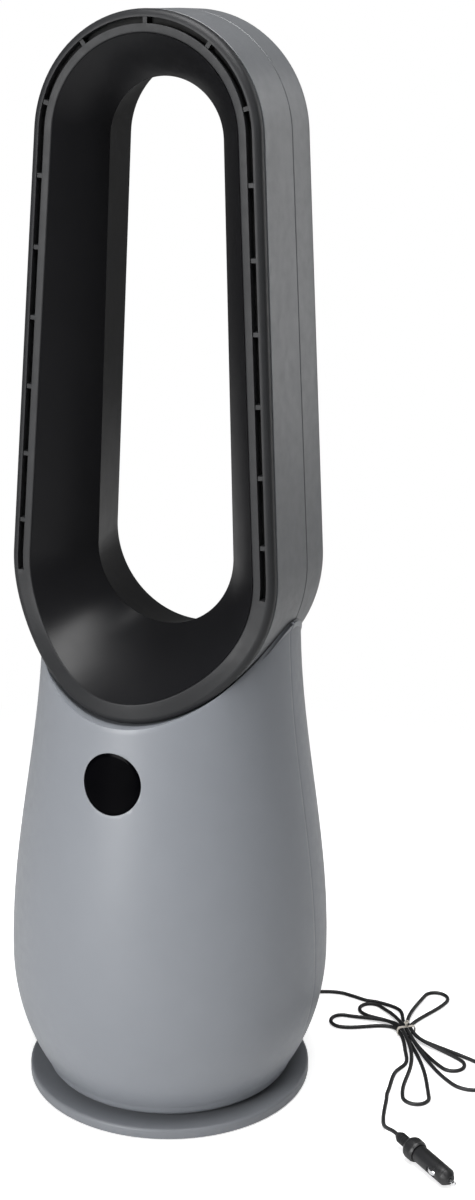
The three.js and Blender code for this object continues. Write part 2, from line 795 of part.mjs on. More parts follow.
function makePost() {
  return turned([
    [postBore, baseTop],
    [postFlange, baseTop],
    [postFlange, bodyFloor - seatGap],
    [postRadius, bodyFloor - seatGap],
    [postRadius, postHeight],
    [postBore, postHeight],
  ]);
}

addPiece("pivot_post", makePost(), "steel");
const nutLow = gearHigh + seatGap;
addPiece("post_nut", tube(nutRadius, postRadius + seatGap, nutLow, nutLow + nutHeight), "brass");
addPiece("turntable_bearing", tube(bearingOuter, bearingInner, baseTop, bodyFloor - seatGap, 32), "inner");

// Base

const exitDirection = new THREE.Vector2(Math.cos(exitAngle), Math.sin(exitAngle));

function cordBore(radius) {
  const geometry = new THREE.CylinderGeometry(radius, radius, baseRadius, 24);
  geometry.rotateZ(-Math.PI / 2).translate(baseRadius * 1.2, 0, exitHeight).rotateZ(exitAngle);
  return toSolid(geometry);
}

function makeBaseCover() {
  const low = footHeight;
  const cover = turned([
    [0, baseTop],
    [baseRadius - baseEdge, baseTop],
    [baseRadius - baseEdge * roundShare, baseTop - baseEdge * roundShare],
    [baseRadius, baseTop - baseEdge],
    [baseRadius, low + 1],
    [baseRadius - 1, low],
    [baseRadius - baseWall - 1, low],
    [baseRadius - baseWall - 1, baseTop - baseWall],
    [0, baseTop - baseWall],
  ], 40);
  const ribs = turned([
    [weightHole, low + weightThickness + seatGap],
    [weightHole + 4, low + weightThickness + seatGap],
    [weightHole + 4, baseTop - 1],
    [weightHole, baseTop - 1],
  ], 16);
  return cover.add(ribs).subtract(cordBore(grommetTip + seatGap)).subtract(rod(postBore, 0, baseTop + 1));
}

addPiece("base_cover", makeBaseCover(), "casing");
addPiece(
  "base_weight",
  tube(baseRadius - weightInset, weightHole, footHeight, footHeight + weightThickness, 36),
  "steel",
);
onCircle(footCount, footCircle, Math.PI / 4).forEach(({ x, y }, index) =>
  addPiece(`base_foot_${index + 1}`, rod(footRadius, 0, footHeight, x, y, 16), "rubber"),
);

// Blower

function makeBlowerHousing() {
  const flangeLow = shelfHeight + shelfThickness + isolatorHeight + 2 * seatGap;
  return turned([
    [inletRadius, inletHeight],
    [eyeRadius + eyeFlare, inletHeight + 3],
    [eyeRadius, eyeHeight],
    [eyeRadius + eyeFlare, (eyeHeight + drumHeight) / 2],
    [drumRadius, drumHeight],
    [drumRadius, flangeLow],
    [neckBore, coneTop],
    [neckBore, neckStart],
    [neckRadius, neckStart],
    [neckRadius, coneTop],
    [drumRadius + housingWall, flangeLow + housingWall + 1],
    [drumRadius + flangeWidth, flangeLow + housingWall],
    [drumRadius + flangeWidth, flangeLow],
    [drumRadius + housingWall, flangeLow],
    [drumRadius + housingWall, drumHeight - 1],
    [eyeRadius + eyeFlare + housingWall, (eyeHeight + drumHeight) / 2 - 1],
    [eyeRadius + housingWall, eyeHeight],
    [eyeRadius + eyeFlare + housingWall, inletHeight + 3 + housingWall],
    [inletRadius, inletHeight + housingWall],
  ]);
}

function makeShelf() {
  const top = shelfHeight + shelfThickness;
  return turned([
    [drumRadius + housingWall + runGap, shelfHeight],
    [shelfRadius(top), shelfHeight],
    [shelfRadius(top), top],
    [drumRadius + housingWall + runGap, top],
  ], innerSegments);
}

const isolatorLow = shelfHeight + shelfThickness + seatGap;
addPiece("blower_shelf", makeShelf(), "inner");
addPiece("blower_housing", makeBlowerHousing(), "inner");
onCircle(isolatorCount, drumRadius + housingWall + isolatorRadius + 2, Math.PI / 2).forEach(({ x, y }, index) =>
  addPiece(
    `blower_isolator_${index + 1}`,
    rod(isolatorRadius, isolatorLow, isolatorLow + isolatorHeight, x, y, 16),
    "rubber",
  ),
);

// A thin blade between an inner and an outer radius, twisted about Z from its foot to its top.
function blade(angle, low, high, inner, outer, thickness, sweep, steps = 3) {
  const positions = [];
  for (let step = 0; step <= steps; step++) {
    const share = step / steps;
    const turn = angle + sweep * share ** 1.4;
    const height = low + (high - low) * share;
    const along = new THREE.Vector2(Math.cos(turn), Math.sin(turn));
    const across = new THREE.Vector2(-along.y, along.x).multiplyScalar(thickness / 2);
    const root = inner(share);
    const tip = outer(share);
    for (const [radius, side] of [[root, -1], [tip, -1], [tip, 1], [root, 1]]) {
      positions.push(along.x * radius + across.x * side, along.y * radius + across.y * side, height);
    }
  }
  const index = [0, 2, 1, 0, 3, 2];
  for (let step = 0; step < steps; step++) {
    for (let corner = 0; corner < 4; corner++) {
      const here = step * 4 + corner;
      const beside = step * 4 + ((corner + 1) % 4);
      // Both faces split from the root below to the tip above, so the twisted walls stay apart.
      if (corner === 2) index.push(here, beside, here + 4, beside, beside + 4, here + 4);
      else index.push(here, beside, beside + 4, here, beside + 4, here + 4);
    }
  }
  const last = steps * 4;
  index.push(last, last + 1, last + 2, last, last + 2, last + 3);
  const geometry = new THREE.BufferGeometry();
  geometry.setAttribute("position", new THREE.Float32BufferAttribute(positions, 3));
  geometry.setIndex(index);
  return toSolid(geometry);
}

function makeImpeller() {
  const low = eyeHeight + 3;
  const high = drumHeight;
  const hubMiddle = hubHigh * 0.7;
  const hub = turned([
    [shaftRadius + seatGap, low],
    [hubLow, low],
    [hubMiddle, (low + high) / 2],
    [hubHigh, high],
    [hubHigh - hubWall, high],
    [hubMiddle - hubWall, (low + high) / 2 + hubWall],
    [hubLow, low + 2 * hubWall],
    [shaftRadius + seatGap + hubWall, low + 2 * hubWall],
    [shaftRadius + seatGap + hubWall, high - hubWall],
    [shaftRadius + seatGap, high - hubWall],
  ], 3 * bladeCount);
  const hubAt = (share) =>
    share < 0.5 ? hubLow + (hubMiddle - hubLow) * 2 * share : hubMiddle + (hubHigh - hubMiddle) * (2 * share - 1);
  const root = (share) => hubAt(share) - hubWall / 2;
  const tip = (share) => eyeRadius - runGap + (drumRadius - eyeRadius - 2) * share ** 1.6;
  const blades = Array.from({ length: bladeCount }, (_, index) =>
    blade((index * 2 * Math.PI) / bladeCount, low + 1, high - 0.5, root, tip, bladeThickness, bladeSweep, 3),
  );
  return joined([hub, ...blades]);
}

function makeVanes() {
  const cup = turned([
    [hubHigh, drumHeight + 4],
    [hubHigh, motorHigh + seatGap + 3],
    [shaftRadius + 4, motorHigh + seatGap + 9],
    [shaftRadius + 4, motorHigh + seatGap + 6],
    [motorRadius, motorHigh + seatGap],
    [hubHigh - hubWall, motorHigh + seatGap],
    [hubHigh - hubWall, drumHeight + 4],
  ]);
  const vaneRoot = () => hubHigh - 1;
  const vaneTip = () => drumRadius * Math.cos(Math.PI / 24) - seatGap;
  const vanes = Array.from({ length: vaneCount }, (_, index) =>
    blade((index * 2 * Math.PI) / vaneCount, vaneLow, vaneHigh, vaneRoot, vaneTip, vaneThickness, vaneSweep, 2),
  );
  return joined([cup, ...vanes]);
}

function makeBlowerMotor() {
  return turned([
    [shaftRadius + seatGap, motorLow + bearingWidth + seatGap],
    [bearingRadius + seatGap, motorLow + bearingWidth + seatGap],
    [bearingRadius + seatGap, motorLow],
    [motorRadius, motorLow],
    [motorRadius, motorHigh],
    [bearingRadius + seatGap, motorHigh],
    [bearingRadius + seatGap, motorHigh - bearingWidth - seatGap],
    [shaftRadius + seatGap, motorHigh - bearingWidth - seatGap],
  ]);
}

const bearingRing = (low) => tube(bearingRadius, shaftRadius + seatGap, low, low + bearingWidth, 20);
addPiece("impeller", makeImpeller(), "inner");
addPiece("impeller_shaft", rod(shaftRadius, eyeHeight + 3, motorHigh, 0, 0, 16), "steel");
addPiece("guide_vanes", makeVanes(), "inner");
addPiece("blower_motor", makeBlowerMotor(), "steel");
addPiece("shaft_bearing_lower", bearingRing(motorLow), "steel");
addPiece("shaft_bearing_upper", bearingRing(motorHigh - bearingWidth), "steel");

// Duct up into the ring

function makeNeck() {
  const low = neckStart + seatGap;
  const collarTop = ringFootHeight - saddleGap - bodyWall - seatGap;
  return turned([
    [neckBore, low],
    [neckRadius, low],
    [neckRadius, collarTop - collarThickness],
    [neckRadius + collarWidth, collarTop - collarThickness],
    [neckRadius + collarWidth, collarTop],
    [neckRadius, collarTop],
    [neckRadius, neckTop],
    [neckBore, neckTop],
  ]);
}

function makeSplitter() {
  const foot = neckTop - 2 * neckRise;
  const top = neckTop + splitterRise;
  const shape = new THREE.Shape([
    new THREE.Vector2(-1.2, foot),
    new THREE.Vector2(1.2, foot),
    new THREE.Vector2(2.4, neckTop),
    new THREE.Vector2(splitterWidth, top),
    new THREE.Vector2(-splitterWidth, top),
    new THREE.Vector2(-2.4, neckTop),
  ]);
  const depth = neckBore - seatGap - 0.4;
  return alongY(shape, -depth, depth);
}

addPiece("ring_neck", makeNeck(), "inner");
addPiece("flow_splitter", makeSplitter(), "inner");
const sealInner = neckRadius + seatGap;
addPiece(
  "duct_seal",
  tube(sealInner + sealWall, sealInner, neckStart - sealLength / 2, neckStart + sealLength / 2),
  "rubber",
);

// Control board on the shelf, at the front
function makeControlBoard() {
  const low = shelfHeight + shelfThickness + seatGap;
  const y = -(shelfRadius(low) + drumRadius) / 2;
  const top = low + boardThickness;
  return joined([
    block(controlWidth, controlDepth, boardThickness, 0, y, low + boardThickness / 2),
    rod(5, top - 0.2, top + 14, -controlWidth * 0.3, y, 20),
    rod(5, top - 0.2, top + 14, -controlWidth * 0.08, y, 20),
    block(12, 16, 9, controlWidth * 0.2, y + 1, top + 4.3),
    block(18, 5, 7, controlWidth * 0.2, y - controlDepth / 2 + 3, top + 3.3),
  ]);
}

addPiece("control_board", makeControlBoard(), "board");

// Lead

// A round tube on a smooth route, its ends square to it.
function cordTube(points, steps, radius = cordRadius, sides = cordSides) {
  const section = new THREE.Shape(onCircle(sides, radius));
  const route = new THREE.CatmullRomCurve3(points, false, "centripetal");
  return toSolid(new THREE.ExtrudeGeometry(section, { steps, bevelEnabled: false, extrudePath: route }));
}

// The hank: loops that fan out on both sides of the tie. Every other strand lies above, in the groove between two.
const hankAlong = new THREE.Vector2(Math.cos(hankHeading), Math.sin(hankHeading));
const hankAcross = new THREE.Vector2(-hankAlong.y, hankAlong.x);
const floorLevel = cordRadius + 0.1;
const tieLift = tieThickness + seatGap + 0.2;
const upperLayer = Math.sqrt(strandLayer ** 2 - strandPitch ** 2);
const strandAcross = (strand) => (strand - (strandCount + 1) / 2) * strandPitch;

function smooth(share) {
  const clamped = Math.min(1, Math.max(0, share));
  return clamped * clamped * (3 - 2 * clamped);
}

// From the hank's own frame, along and across its tie, to the part's.
function hankPlace(along, across, height) {
  return new THREE.Vector3(
    hankWaist.x + hankAlong.x * along + hankAcross.x * across,
    hankWaist.y + hankAlong.y * along + hankAcross.y * across,
    height,
  );
}

function strandHeight(strand, along, settle) {
  const away = Math.abs(along) - tieHalf;
  const above = strand % 2 === 0 ? upperLayer * (1 - smooth(away / settle)) : 0;
  return floorLevel + tieLift * (1 - smooth(away / tieSettle)) + above;
}

// One side of a loop, from its strand at the tie to where its end begins to bend.
function petalLeg({ side, settle, pull }, strand, target, heading, share) {
  const start = new THREE.Vector2(side * tieHalf, strandAcross(strand));
  const reach = start.distanceTo(target);
  const cubed = share ** 3;
  const squared = share ** 2;
  const point = start
    .clone()
    .multiplyScalar(2 * cubed - 3 * squared + 1)
    .addScaledVector(target, 3 * squared - 2 * cubed)
    .addScaledVector(heading, (cubed - squared) * reach);
  point.x += side * pull * reach * (cubed - 2 * squared + share);
  return hankPlace(point.x, point.y, strandHeight(strand, point.x, settle));
}

function petalPoints(petal, legSteps, arcSteps) {
  const { side, from, to, length, half, settle } = petal;
  const angle = THREE.MathUtils.degToRad(petal.angle);
  const heading = new THREE.Vector2(side * Math.cos(angle), Math.sin(angle));
  const centre = heading.clone().multiplyScalar(length - half);
  const sideways = new THREE.Vector2(-heading.y, heading.x);
  if ((strandAcross(from) - strandAcross(to)) * sideways.y < 0) sideways.negate();
  const first = centre.clone().addScaledVector(sideways, half);
  const last = centre.clone().addScaledVector(sideways, -half);
  const left = (strand, place) => strandHeight(strand, place.x, settle) - floorLevel;
  const bend = Array.from({ length: arcSteps + 1 }, (_, step) => {
    const share = step / arcSteps;
    const turn = Math.PI * share;
    const leftFirst = left(from, first) * (1 - smooth(share / bendSettle));
    const leftLast = left(to, last) * (1 - smooth((1 - share) / bendSettle));
    const point = centre
      .clone()
      .addScaledVector(sideways, half * Math.cos(turn))
      .addScaledVector(heading, half * Math.sin(turn));
    return hankPlace(point.x, point.y, floorLevel + leftFirst + leftLast);
  });
  const out = legSteps.map((share) => petalLeg(petal, from, first, heading, share));
  const back = legSteps.map((share) => petalLeg(petal, to, last, heading, share)).reverse();
  return [...out, ...bend, ...back];
}

// Points on a smooth route through knots of [along, across, height], a number of them to each stretch.
function routePoints(knots, perStretch) {
  const curve = new THREE.CatmullRomCurve3(knots.map((knot) => hankPlace(...knot)), false, "centripetal");
  return curve.getPoints((knots.length - 1) * perStretch);
}

const lowStrand = floorLevel + tieLift;
const inKnots = [
  [-87.5, -30.6, floorLevel],
  [-84.8, -28, floorLevel],
  [-74, -18, floorLevel],
  [-67.6, -7.7, floorLevel],
  [-47.1, 9, floorLevel + 0.1],
  [-22.8, 5.1, floorLevel + 0.6],
  [-13, 3.15, lowStrand - 0.2],
  [-tieHalf, strandAcross(5), lowStrand],
  [tieHalf, strandAcross(5), lowStrand],
];
const outKnots = [
  [-tieHalf, strandAcross(1), lowStrand],
  [tieHalf, strandAcross(1), lowStrand],
  [14, -7.9, lowStrand - 0.2],
  [31.1, -11.9, floorLevel + 0.4],
  [54.7, -19.2, floorLevel],
  [70, -36, floorLevel],
  [95, -50.5, floorLevel],
  [98.5, -52.5, floorLevel],
];

function hankRoute(perStretch, legSteps, arcSteps) {
  const whole = [
    ...routePoints(inKnots, perStretch),
    ...petals.flatMap((petal) => petalPoints(petal, legSteps, arcSteps)),
    ...routePoints(outKnots, perStretch),
  ];
  return whole.filter((point, index) => index === 0 || point.distanceTo(whole[index - 1]) > 0.5);
}

// A tube through points, one ring of corners at each, with flat ends.
function tubeThrough(points, radius, sides) {
  const positions = [];
  const up = new THREE.Vector3(0, 0, 1);
  points.forEach((point, index) => {
    const before = points[Math.max(0, index - 1)];
    const after = points[Math.min(points.length - 1, index + 1)];
    const heading = new THREE.Vector3().subVectors(after, before).normalize();
    const sideways = new THREE.Vector3().crossVectors(up, heading).normalize();
    const above = new THREE.Vector3().crossVectors(heading, sideways);
    onCircle(sides, radius, Math.PI / sides).forEach(({ x, y }) => {
      const corner = point.clone().addScaledVector(sideways, x).addScaledVector(above, y);
      positions.push(corner.x, corner.y, corner.z);
    });
  });
  const index = [];
  for (let ring = 0; ring < points.length - 1; ring++) {
    for (let side = 0; side < sides; side++) {
      const here = ring * sides + side;
      const beside = ring * sides + ((side + 1) % sides);
      index.push(here, beside, beside + sides, here, beside + sides, here + sides);
    }
  }
  const last = (points.length - 1) * sides;
  for (let side = 1; side < sides - 1; side++) {
    index.push(0, side + 1, side, last, last + side, last + side + 1);
  }
  const geometry = new THREE.BufferGeometry();
  geometry.setAttribute("position", new THREE.Float32BufferAttribute(positions, 3));
  geometry.setIndex(index);
  return toSolid(geometry);
}

const hankPoints = hankRoute(2, petalSteps, bendSteps);

// The least gap between stretches of the hank's tube that lie more than a bend apart along it.
function hankGap() {
  const fine = Array.from({ length: 60 }, (_, step) => step / 60);
  const points = hankRoute(40, fine, 60);
  const travelled = [0];
  points.forEach((point, index) => {
    if (index > 0) travelled.push(travelled[index - 1] + point.distanceTo(points[index - 1]));
  });
  let least = Infinity;
  for (let one = 0; one < points.length; one++) {
    for (let other = one + 1; other < points.length; other++) {
      const apart = travelled[other] - travelled[one] > strandLayer * 4;
      if (apart) least = Math.min(least, points[one].distanceTo(points[other]));
    }
  }
  return least - 2 * cordRadius;
}
console.log("hank: least gap between its strands", hankGap().toFixed(2), "mm");

addPiece("cord_hank", tubeThrough(hankPoints, cordRadius, hankSides), "rubber");

const rise = (vector, z) => new THREE.Vector3(vector.x, vector.y, z);
const baseExit = exitDirection.clone().multiplyScalar(baseRadius);
const grommetEnd = exitDirection.clone().multiplyScalar(baseRadius + grommetLength);
const hankStart = hankPoints[0];
const hankEnd = hankPoints[hankPoints.length - 1];
// A point on the line through two others, past the second by a distance.
const pastEnd = (before, end, distance) =>
  end.clone().addScaledVector(new THREE.Vector3().subVectors(end, before).normalize(), distance);

function makeGrommet() {
  const inside = baseWall + 3;
  const profile = [
    [cordRadius + seatGap, -inside],
    [grommetTip, -inside],
    [grommetTip, 0.6],
    [grommetRadius, 0.6],
    [grommetRadius, 3],
    [grommetTip, grommetLength],
    [cordRadius + seatGap, grommetLength],
  ];
  return turned(profile, 16)
    .rotate(0, 90, 0)
    .translate(baseRadius, 0, exitHeight)
    .rotate(0, 0, THREE.MathUtils.radToDeg(exitAngle));
}

const leadPoints = [
  rise(baseExit.clone().addScaledVector(exitDirection, -cordInside), exitHeight),
  rise(grommetEnd, exitHeight),
  rise(grommetEnd.clone().addScaledVector(exitDirection, 8), exitHeight - 1.4),
  new THREE.Vector3(66, 174, floorLevel + 0.5),
  new THREE.Vector3(80, 189, floorLevel + 0.1),
  new THREE.Vector3(98, 198.5, floorLevel),
  pastEnd(hankPoints[1], hankStart, 9),
  pastEnd(hankPoints[1], hankStart, 4),
  pastEnd(hankPoints[1], hankStart, seatGap),
];

addPiece("cord_grommet", makeGrommet(), "rubber");
addPiece("cord_lead", cordTube(leadPoints, 20), "rubber");

// Plug: it lies on its grip and the end of its barrel, so its nose tips down.
const plugTilt = Math.atan((gripRadius - barrelRadius) / (barrelLength + gripLength / 2));
const plug = new THREE.Group();
plug.rotation.order = "ZYX";
plug.rotation.set(0, plugTilt, plugHeading);
const gripCentre = bootLength + gripLength;
plug.position.set(
  plugStart.x,
  plugStart.y,
  0.15 + gripRadius * Math.cos(plugTilt) + gripCentre * Math.sin(plugTilt),
);
fan.add(plug);

// A closed profile of [radius, distance along the plug].
function plugTurned(profile, segments = 20) {
  return turned(profile, segments).rotate(0, 90, 0);
}

const barrelStart = bootLength + gripLength;
const barrelEnd = barrelStart + barrelLength;
const noseStart = barrelEnd + seatGap;
const noseEnd = noseStart + noseLength;
const contactMiddle = barrelStart + barrelLength * contactShare;
const fuseBore = fuseRadius + seatGap;
const pinShoulder = pinRadius + 1.2;
const collarFront = noseEnd - noseWall - seatGap;

function makeBoot() {
  return plugTurned([
    [0, 0],
    [bootTip, 0],
    [bootRadius, 4],
    [bootRadius, bootLength - seatGap],
    [0, bootLength - seatGap],
  ]);
}

function makeGrip() {
  return plugTurned([
    [0, bootLength],
    [gripRadius - 2.5, bootLength],
    [gripRadius, bootLength + 3],
    [gripRadius, barrelStart - 2],
    [gripRadius - 1.5, barrelStart - seatGap],
    [0, barrelStart - seatGap],
  ]);
}

function makeBarrel() {
  const shell = plugTurned([
    [0, barrelStart],
    [barrelRadius, barrelStart],
    [barrelRadius, barrelEnd],
    [fuseBore, barrelEnd],
    [fuseBore, barrelEnd - fuseLength],
    [0, barrelEnd - fuseLength],
  ]);
  const pocketFloor = barrelRadius - contactDepth - contactTravel - seatGap;
  const pocket = (side) =>
    block(
      contactLength + 2 * seatGap,
      barrelRadius,
      contactWidth + 2 * seatGap,
      contactMiddle,
      side * (pocketFloor + barrelRadius / 2),
      0,
    );
  return shell.subtract(pocket(1)).subtract(pocket(-1));
}

// A side contact: a rounded strip that stands a little proud of the barrel.
function makeContact(side) {
  const inner = barrelRadius - contactDepth;
  const strip = new THREE.Shape();
  strip.moveTo(-contactLength / 2, inner);
  strip.lineTo(contactLength / 2, inner);
  strip.lineTo(contactLength / 2, barrelRadius - 1.2);
  strip.quadraticCurveTo(0, barrelRadius + 2 * contactProud, -contactLength / 2, barrelRadius - 1.2);
  const geometry = new THREE.ExtrudeGeometry(strip, { depth: contactWidth, bevelEnabled: false, curveSegments: 8 });
  geometry.translate(contactMiddle, 0, -contactWidth / 2);
  return side > 0 ? toSolid(geometry) : toSolid(geometry.rotateX(Math.PI));
}

function makeNoseCap() {
  return plugTurned([
    [pinRadius + seatGap, noseEnd],
    [noseTip, noseEnd],
    [barrelRadius, noseStart],
    [pinShoulder + seatGap, noseStart],
    [pinShoulder + seatGap, noseEnd - noseWall],
    [pinRadius + seatGap, noseEnd - noseWall],
  ]);
}

function makePin() {
  return plugTurned([
    [0, noseEnd + pinReach],
    [pinRadius * 0.6, noseEnd + pinReach],
    [pinRadius, noseEnd + pinReach - 1.4],
    [pinRadius, collarFront],
    [pinShoulder, collarFront],
    [pinShoulder, collarFront - pinCollar],
    [0, collarFront - pinCollar],
  ], 12);
}

const fuseEnd = collarFront - pinCollar - pinTravel - seatGap;
addPiece("plug_boot", makeBoot(), "rubber", plug);
addPiece("plug_grip", makeGrip(), "rubber", plug);
addPiece("plug_barrel", makeBarrel(), "rubber", plug);
addPiece("plug_contact_left", makeContact(1), "steel", plug);
addPiece("plug_contact_right", makeContact(-1), "steel", plug);
addPiece("plug_nose_cap", makeNoseCap(), "rubber", plug);
addPiece("plug_pin", makePin(), "steel", plug);
addPiece(
  "plug_fuse",
  plugTurned([
    [0, barrelEnd - fuseLength + seatGap],
    [fuseRadius, barrelEnd - fuseLength + seatGap],
    [fuseRadius, fuseEnd],
    [0, fuseEnd],
  ], 12),
  "brass",
  plug,
);

plug.updateMatrixWorld(true);
const bootFace = plug.localToWorld(new THREE.Vector3(-seatGap, 0, 0));
const bootApproach = plug.localToWorld(new THREE.Vector3(-cordRadius * 3, 0, 0));
const tailPoints = [
  pastEnd(hankPoints[hankPoints.length - 2], hankEnd, seatGap),
  pastEnd(hankPoints[hankPoints.length - 2], hankEnd, 4),
  pastEnd(hankPoints[hankPoints.length - 2], hankEnd, 8),
  new THREE.Vector3(219, 20, floorLevel + 0.2),
  new THREE.Vector3(222.5, 4, floorLevel + 0.3),
  new THREE.Vector3(226.5, -12, floorLevel + 1),
  new THREE.Vector3(233.5, -30, floorLevel + 4),
  bootApproach,
  bootFace,
];
addPiece("cord_tail", cordTube(tailPoints, 20), "rubber");

// The tie: a flat wire in a covering, once round the waist of the hank, its ends twisted on top.
function makeTie() {
  const reach = strandAcross(strandCount) + cordRadius + seatGap;
  const low = lowStrand - cordRadius - seatGap;
  const high = lowStrand + upperLayer + cordRadius + seatGap;
  const outer = roundedRectangle(
    -reach - tieThickness, reach + tieThickness, low - tieThickness, high + tieThickness, tieCorner + tieThickness,
  );
  const inner = roundedRectangle(-reach, reach, low, high, tieCorner);
  const band = alongY(outer, -tieWidth / 2, tieWidth / 2, 4).subtract(alongY(inner, -tieWidth, tieWidth, 4));
  const twist = rod(twistRadius, high + tieThickness / 2, high + twistHeight, 0, 0, 8);
  return band
    .add(twist)
    .rotate(0, 0, THREE.MathUtils.radToDeg(hankHeading) - 90)
    .translate(hankWaist.x, hankWaist.y, 0);
}

addPiece("hank_tie", makeTie(), "tie");

export default fan;
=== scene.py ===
import json
import math

import bmesh
import bpy
import numpy as np
from mathutils import Matrix, Vector


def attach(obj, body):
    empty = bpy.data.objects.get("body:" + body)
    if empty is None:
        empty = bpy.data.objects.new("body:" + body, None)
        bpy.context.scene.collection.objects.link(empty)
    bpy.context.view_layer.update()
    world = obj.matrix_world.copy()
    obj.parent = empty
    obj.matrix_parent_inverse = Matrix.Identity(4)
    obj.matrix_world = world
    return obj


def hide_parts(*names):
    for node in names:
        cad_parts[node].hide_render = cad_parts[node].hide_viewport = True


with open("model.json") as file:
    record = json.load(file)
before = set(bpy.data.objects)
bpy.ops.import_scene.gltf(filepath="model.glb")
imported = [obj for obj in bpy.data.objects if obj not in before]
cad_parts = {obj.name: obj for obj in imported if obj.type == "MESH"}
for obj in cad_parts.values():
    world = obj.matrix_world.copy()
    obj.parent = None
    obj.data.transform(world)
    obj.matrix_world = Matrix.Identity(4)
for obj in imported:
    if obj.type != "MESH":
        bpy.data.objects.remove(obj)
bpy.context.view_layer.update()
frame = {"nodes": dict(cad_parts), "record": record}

scene = bpy.context.scene
collection = scene.collection
mm = 0.001

# Camera
camera = {
    "place": (0.688, -1.5239, 0.9895),
    "yaw": 0.38807,
    "pitch": 0.29501,
    "roll": 0.01481,
    "lens": 56.975,
    "sensor": 36,
}
cameraData = bpy.data.cameras.new("camera")
cameraData.sensor_fit = "VERTICAL"
cameraData.sensor_height = camera["sensor"]
cameraData.sensor_width = camera["sensor"]
cameraData.lens = camera["lens"]
cameraData.clip_start = 0.05
cameraData.clip_end = 60
cameraObject = bpy.data.objects.new("camera", cameraData)
collection.objects.link(cameraObject)
cameraObject.matrix_world = (
    Matrix.Translation(camera["place"])
    @ Matrix.Rotation(camera["yaw"], 4, "Z")
    @ Matrix.Rotation(math.pi / 2 - camera["pitch"], 4, "X")
    @ Matrix.Rotation(camera["roll"], 4, "Z")
)
scene.camera = cameraObject
print("camera made")


# Materials

slowWave = {"size": 0.06, "depth": 0.002}
dustColour = (0.35, 0.35, 0.34)


def finish(
    name,
    colour,
    rough,
    metal=0.0,
    mottle=0.04,
    patch=0.03,
    spread=0.05,
    grain=0.0005,
    bump=0.12,
    wave=0.0,
    brushed=False,
    specular=0.5,
    dust=0.0,
):
    # Colour patches, a roughness that varies, fine grain and a slow waviness, all in object space.
    made = bpy.data.materials.new(name)
    made.use_nodes = True
    nodes, links = made.node_tree.nodes, made.node_tree.links
    shader = nodes["Principled BSDF"]
    shader.inputs["Metallic"].default_value = metal
    shader.inputs["Specular IOR Level"].default_value = specular
    place = nodes.new("ShaderNodeTexCoord")
    source = place.outputs["Object"]
    if brushed:
        mapping = nodes.new("ShaderNodeMapping")
        mapping.inputs["Scale"].default_value = (1, 1, 0.04)
        links.new(source, mapping.inputs["Vector"])
        source = mapping.outputs["Vector"]

    def noise(size, detail):
        node = nodes.new("ShaderNodeTexNoise")
        node.inputs["Scale"].default_value = 1 / size
        node.inputs["Detail"].default_value = detail
        links.new(source, node.inputs["Vector"])
        return node.outputs["Fac"]

    def ranged(value, low, high):
        node = nodes.new("ShaderNodeMapRange")
        node.inputs["From Min"].default_value = 0.3
        node.inputs["From Max"].default_value = 0.7
        node.inputs["To Min"].default_value = low
        node.inputs["To Max"].default_value = high
        links.new(value, node.inputs["Value"])
        return node.outputs["Result"]

    def mixed(factor, first, second):
        node = nodes.new("ShaderNodeMix")
        node.data_type = "RGBA"
        for socket, value in ((node.inputs[6], first), (node.inputs[7], second)):
            if isinstance(value, bpy.types.NodeSocket):
                links.new(value, socket)
            else:
                socket.default_value = (*value, 1)
        if isinstance(factor, bpy.types.NodeSocket):
            links.new(factor, node.inputs[0])
        else:
            node.inputs[0].default_value = factor
        return node.outputs[2]

    darker = [c * (1 - mottle) for c in colour]
    lighter = [min(1.0, c * (1 + mottle)) for c in colour]
    shade = mixed(noise(patch, 3), darker, lighter)
    if dust:
        specks = ranged(noise(grain * 3, 2), 0, dust)
        shade = mixed(specks, shade, dustColour)
    links.new(shade, shader.inputs["Base Color"])
    links.new(ranged(noise(patch / 3, 4), rough - spread, rough + spread), shader.inputs["Roughness"])
    fine = nodes.new("ShaderNodeBump")
    fine.inputs["Strength"].default_value = bump
    fine.inputs["Distance"].default_value = grain
    links.new(noise(grain, 2), fine.inputs["Height"])
    if wave:
        slow = nodes.new("ShaderNodeBump")
        slow.inputs["Strength"].default_value = wave
        slow.inputs["Distance"].default_value = slowWave["depth"]
        links.new(noise(slowWave["size"], 1), slow.inputs["Height"])
        links.new(slow.outputs["Normal"], fine.inputs["Normal"])
    links.new(fine.outputs["Normal"], shader.inputs["Normal"])
    return made


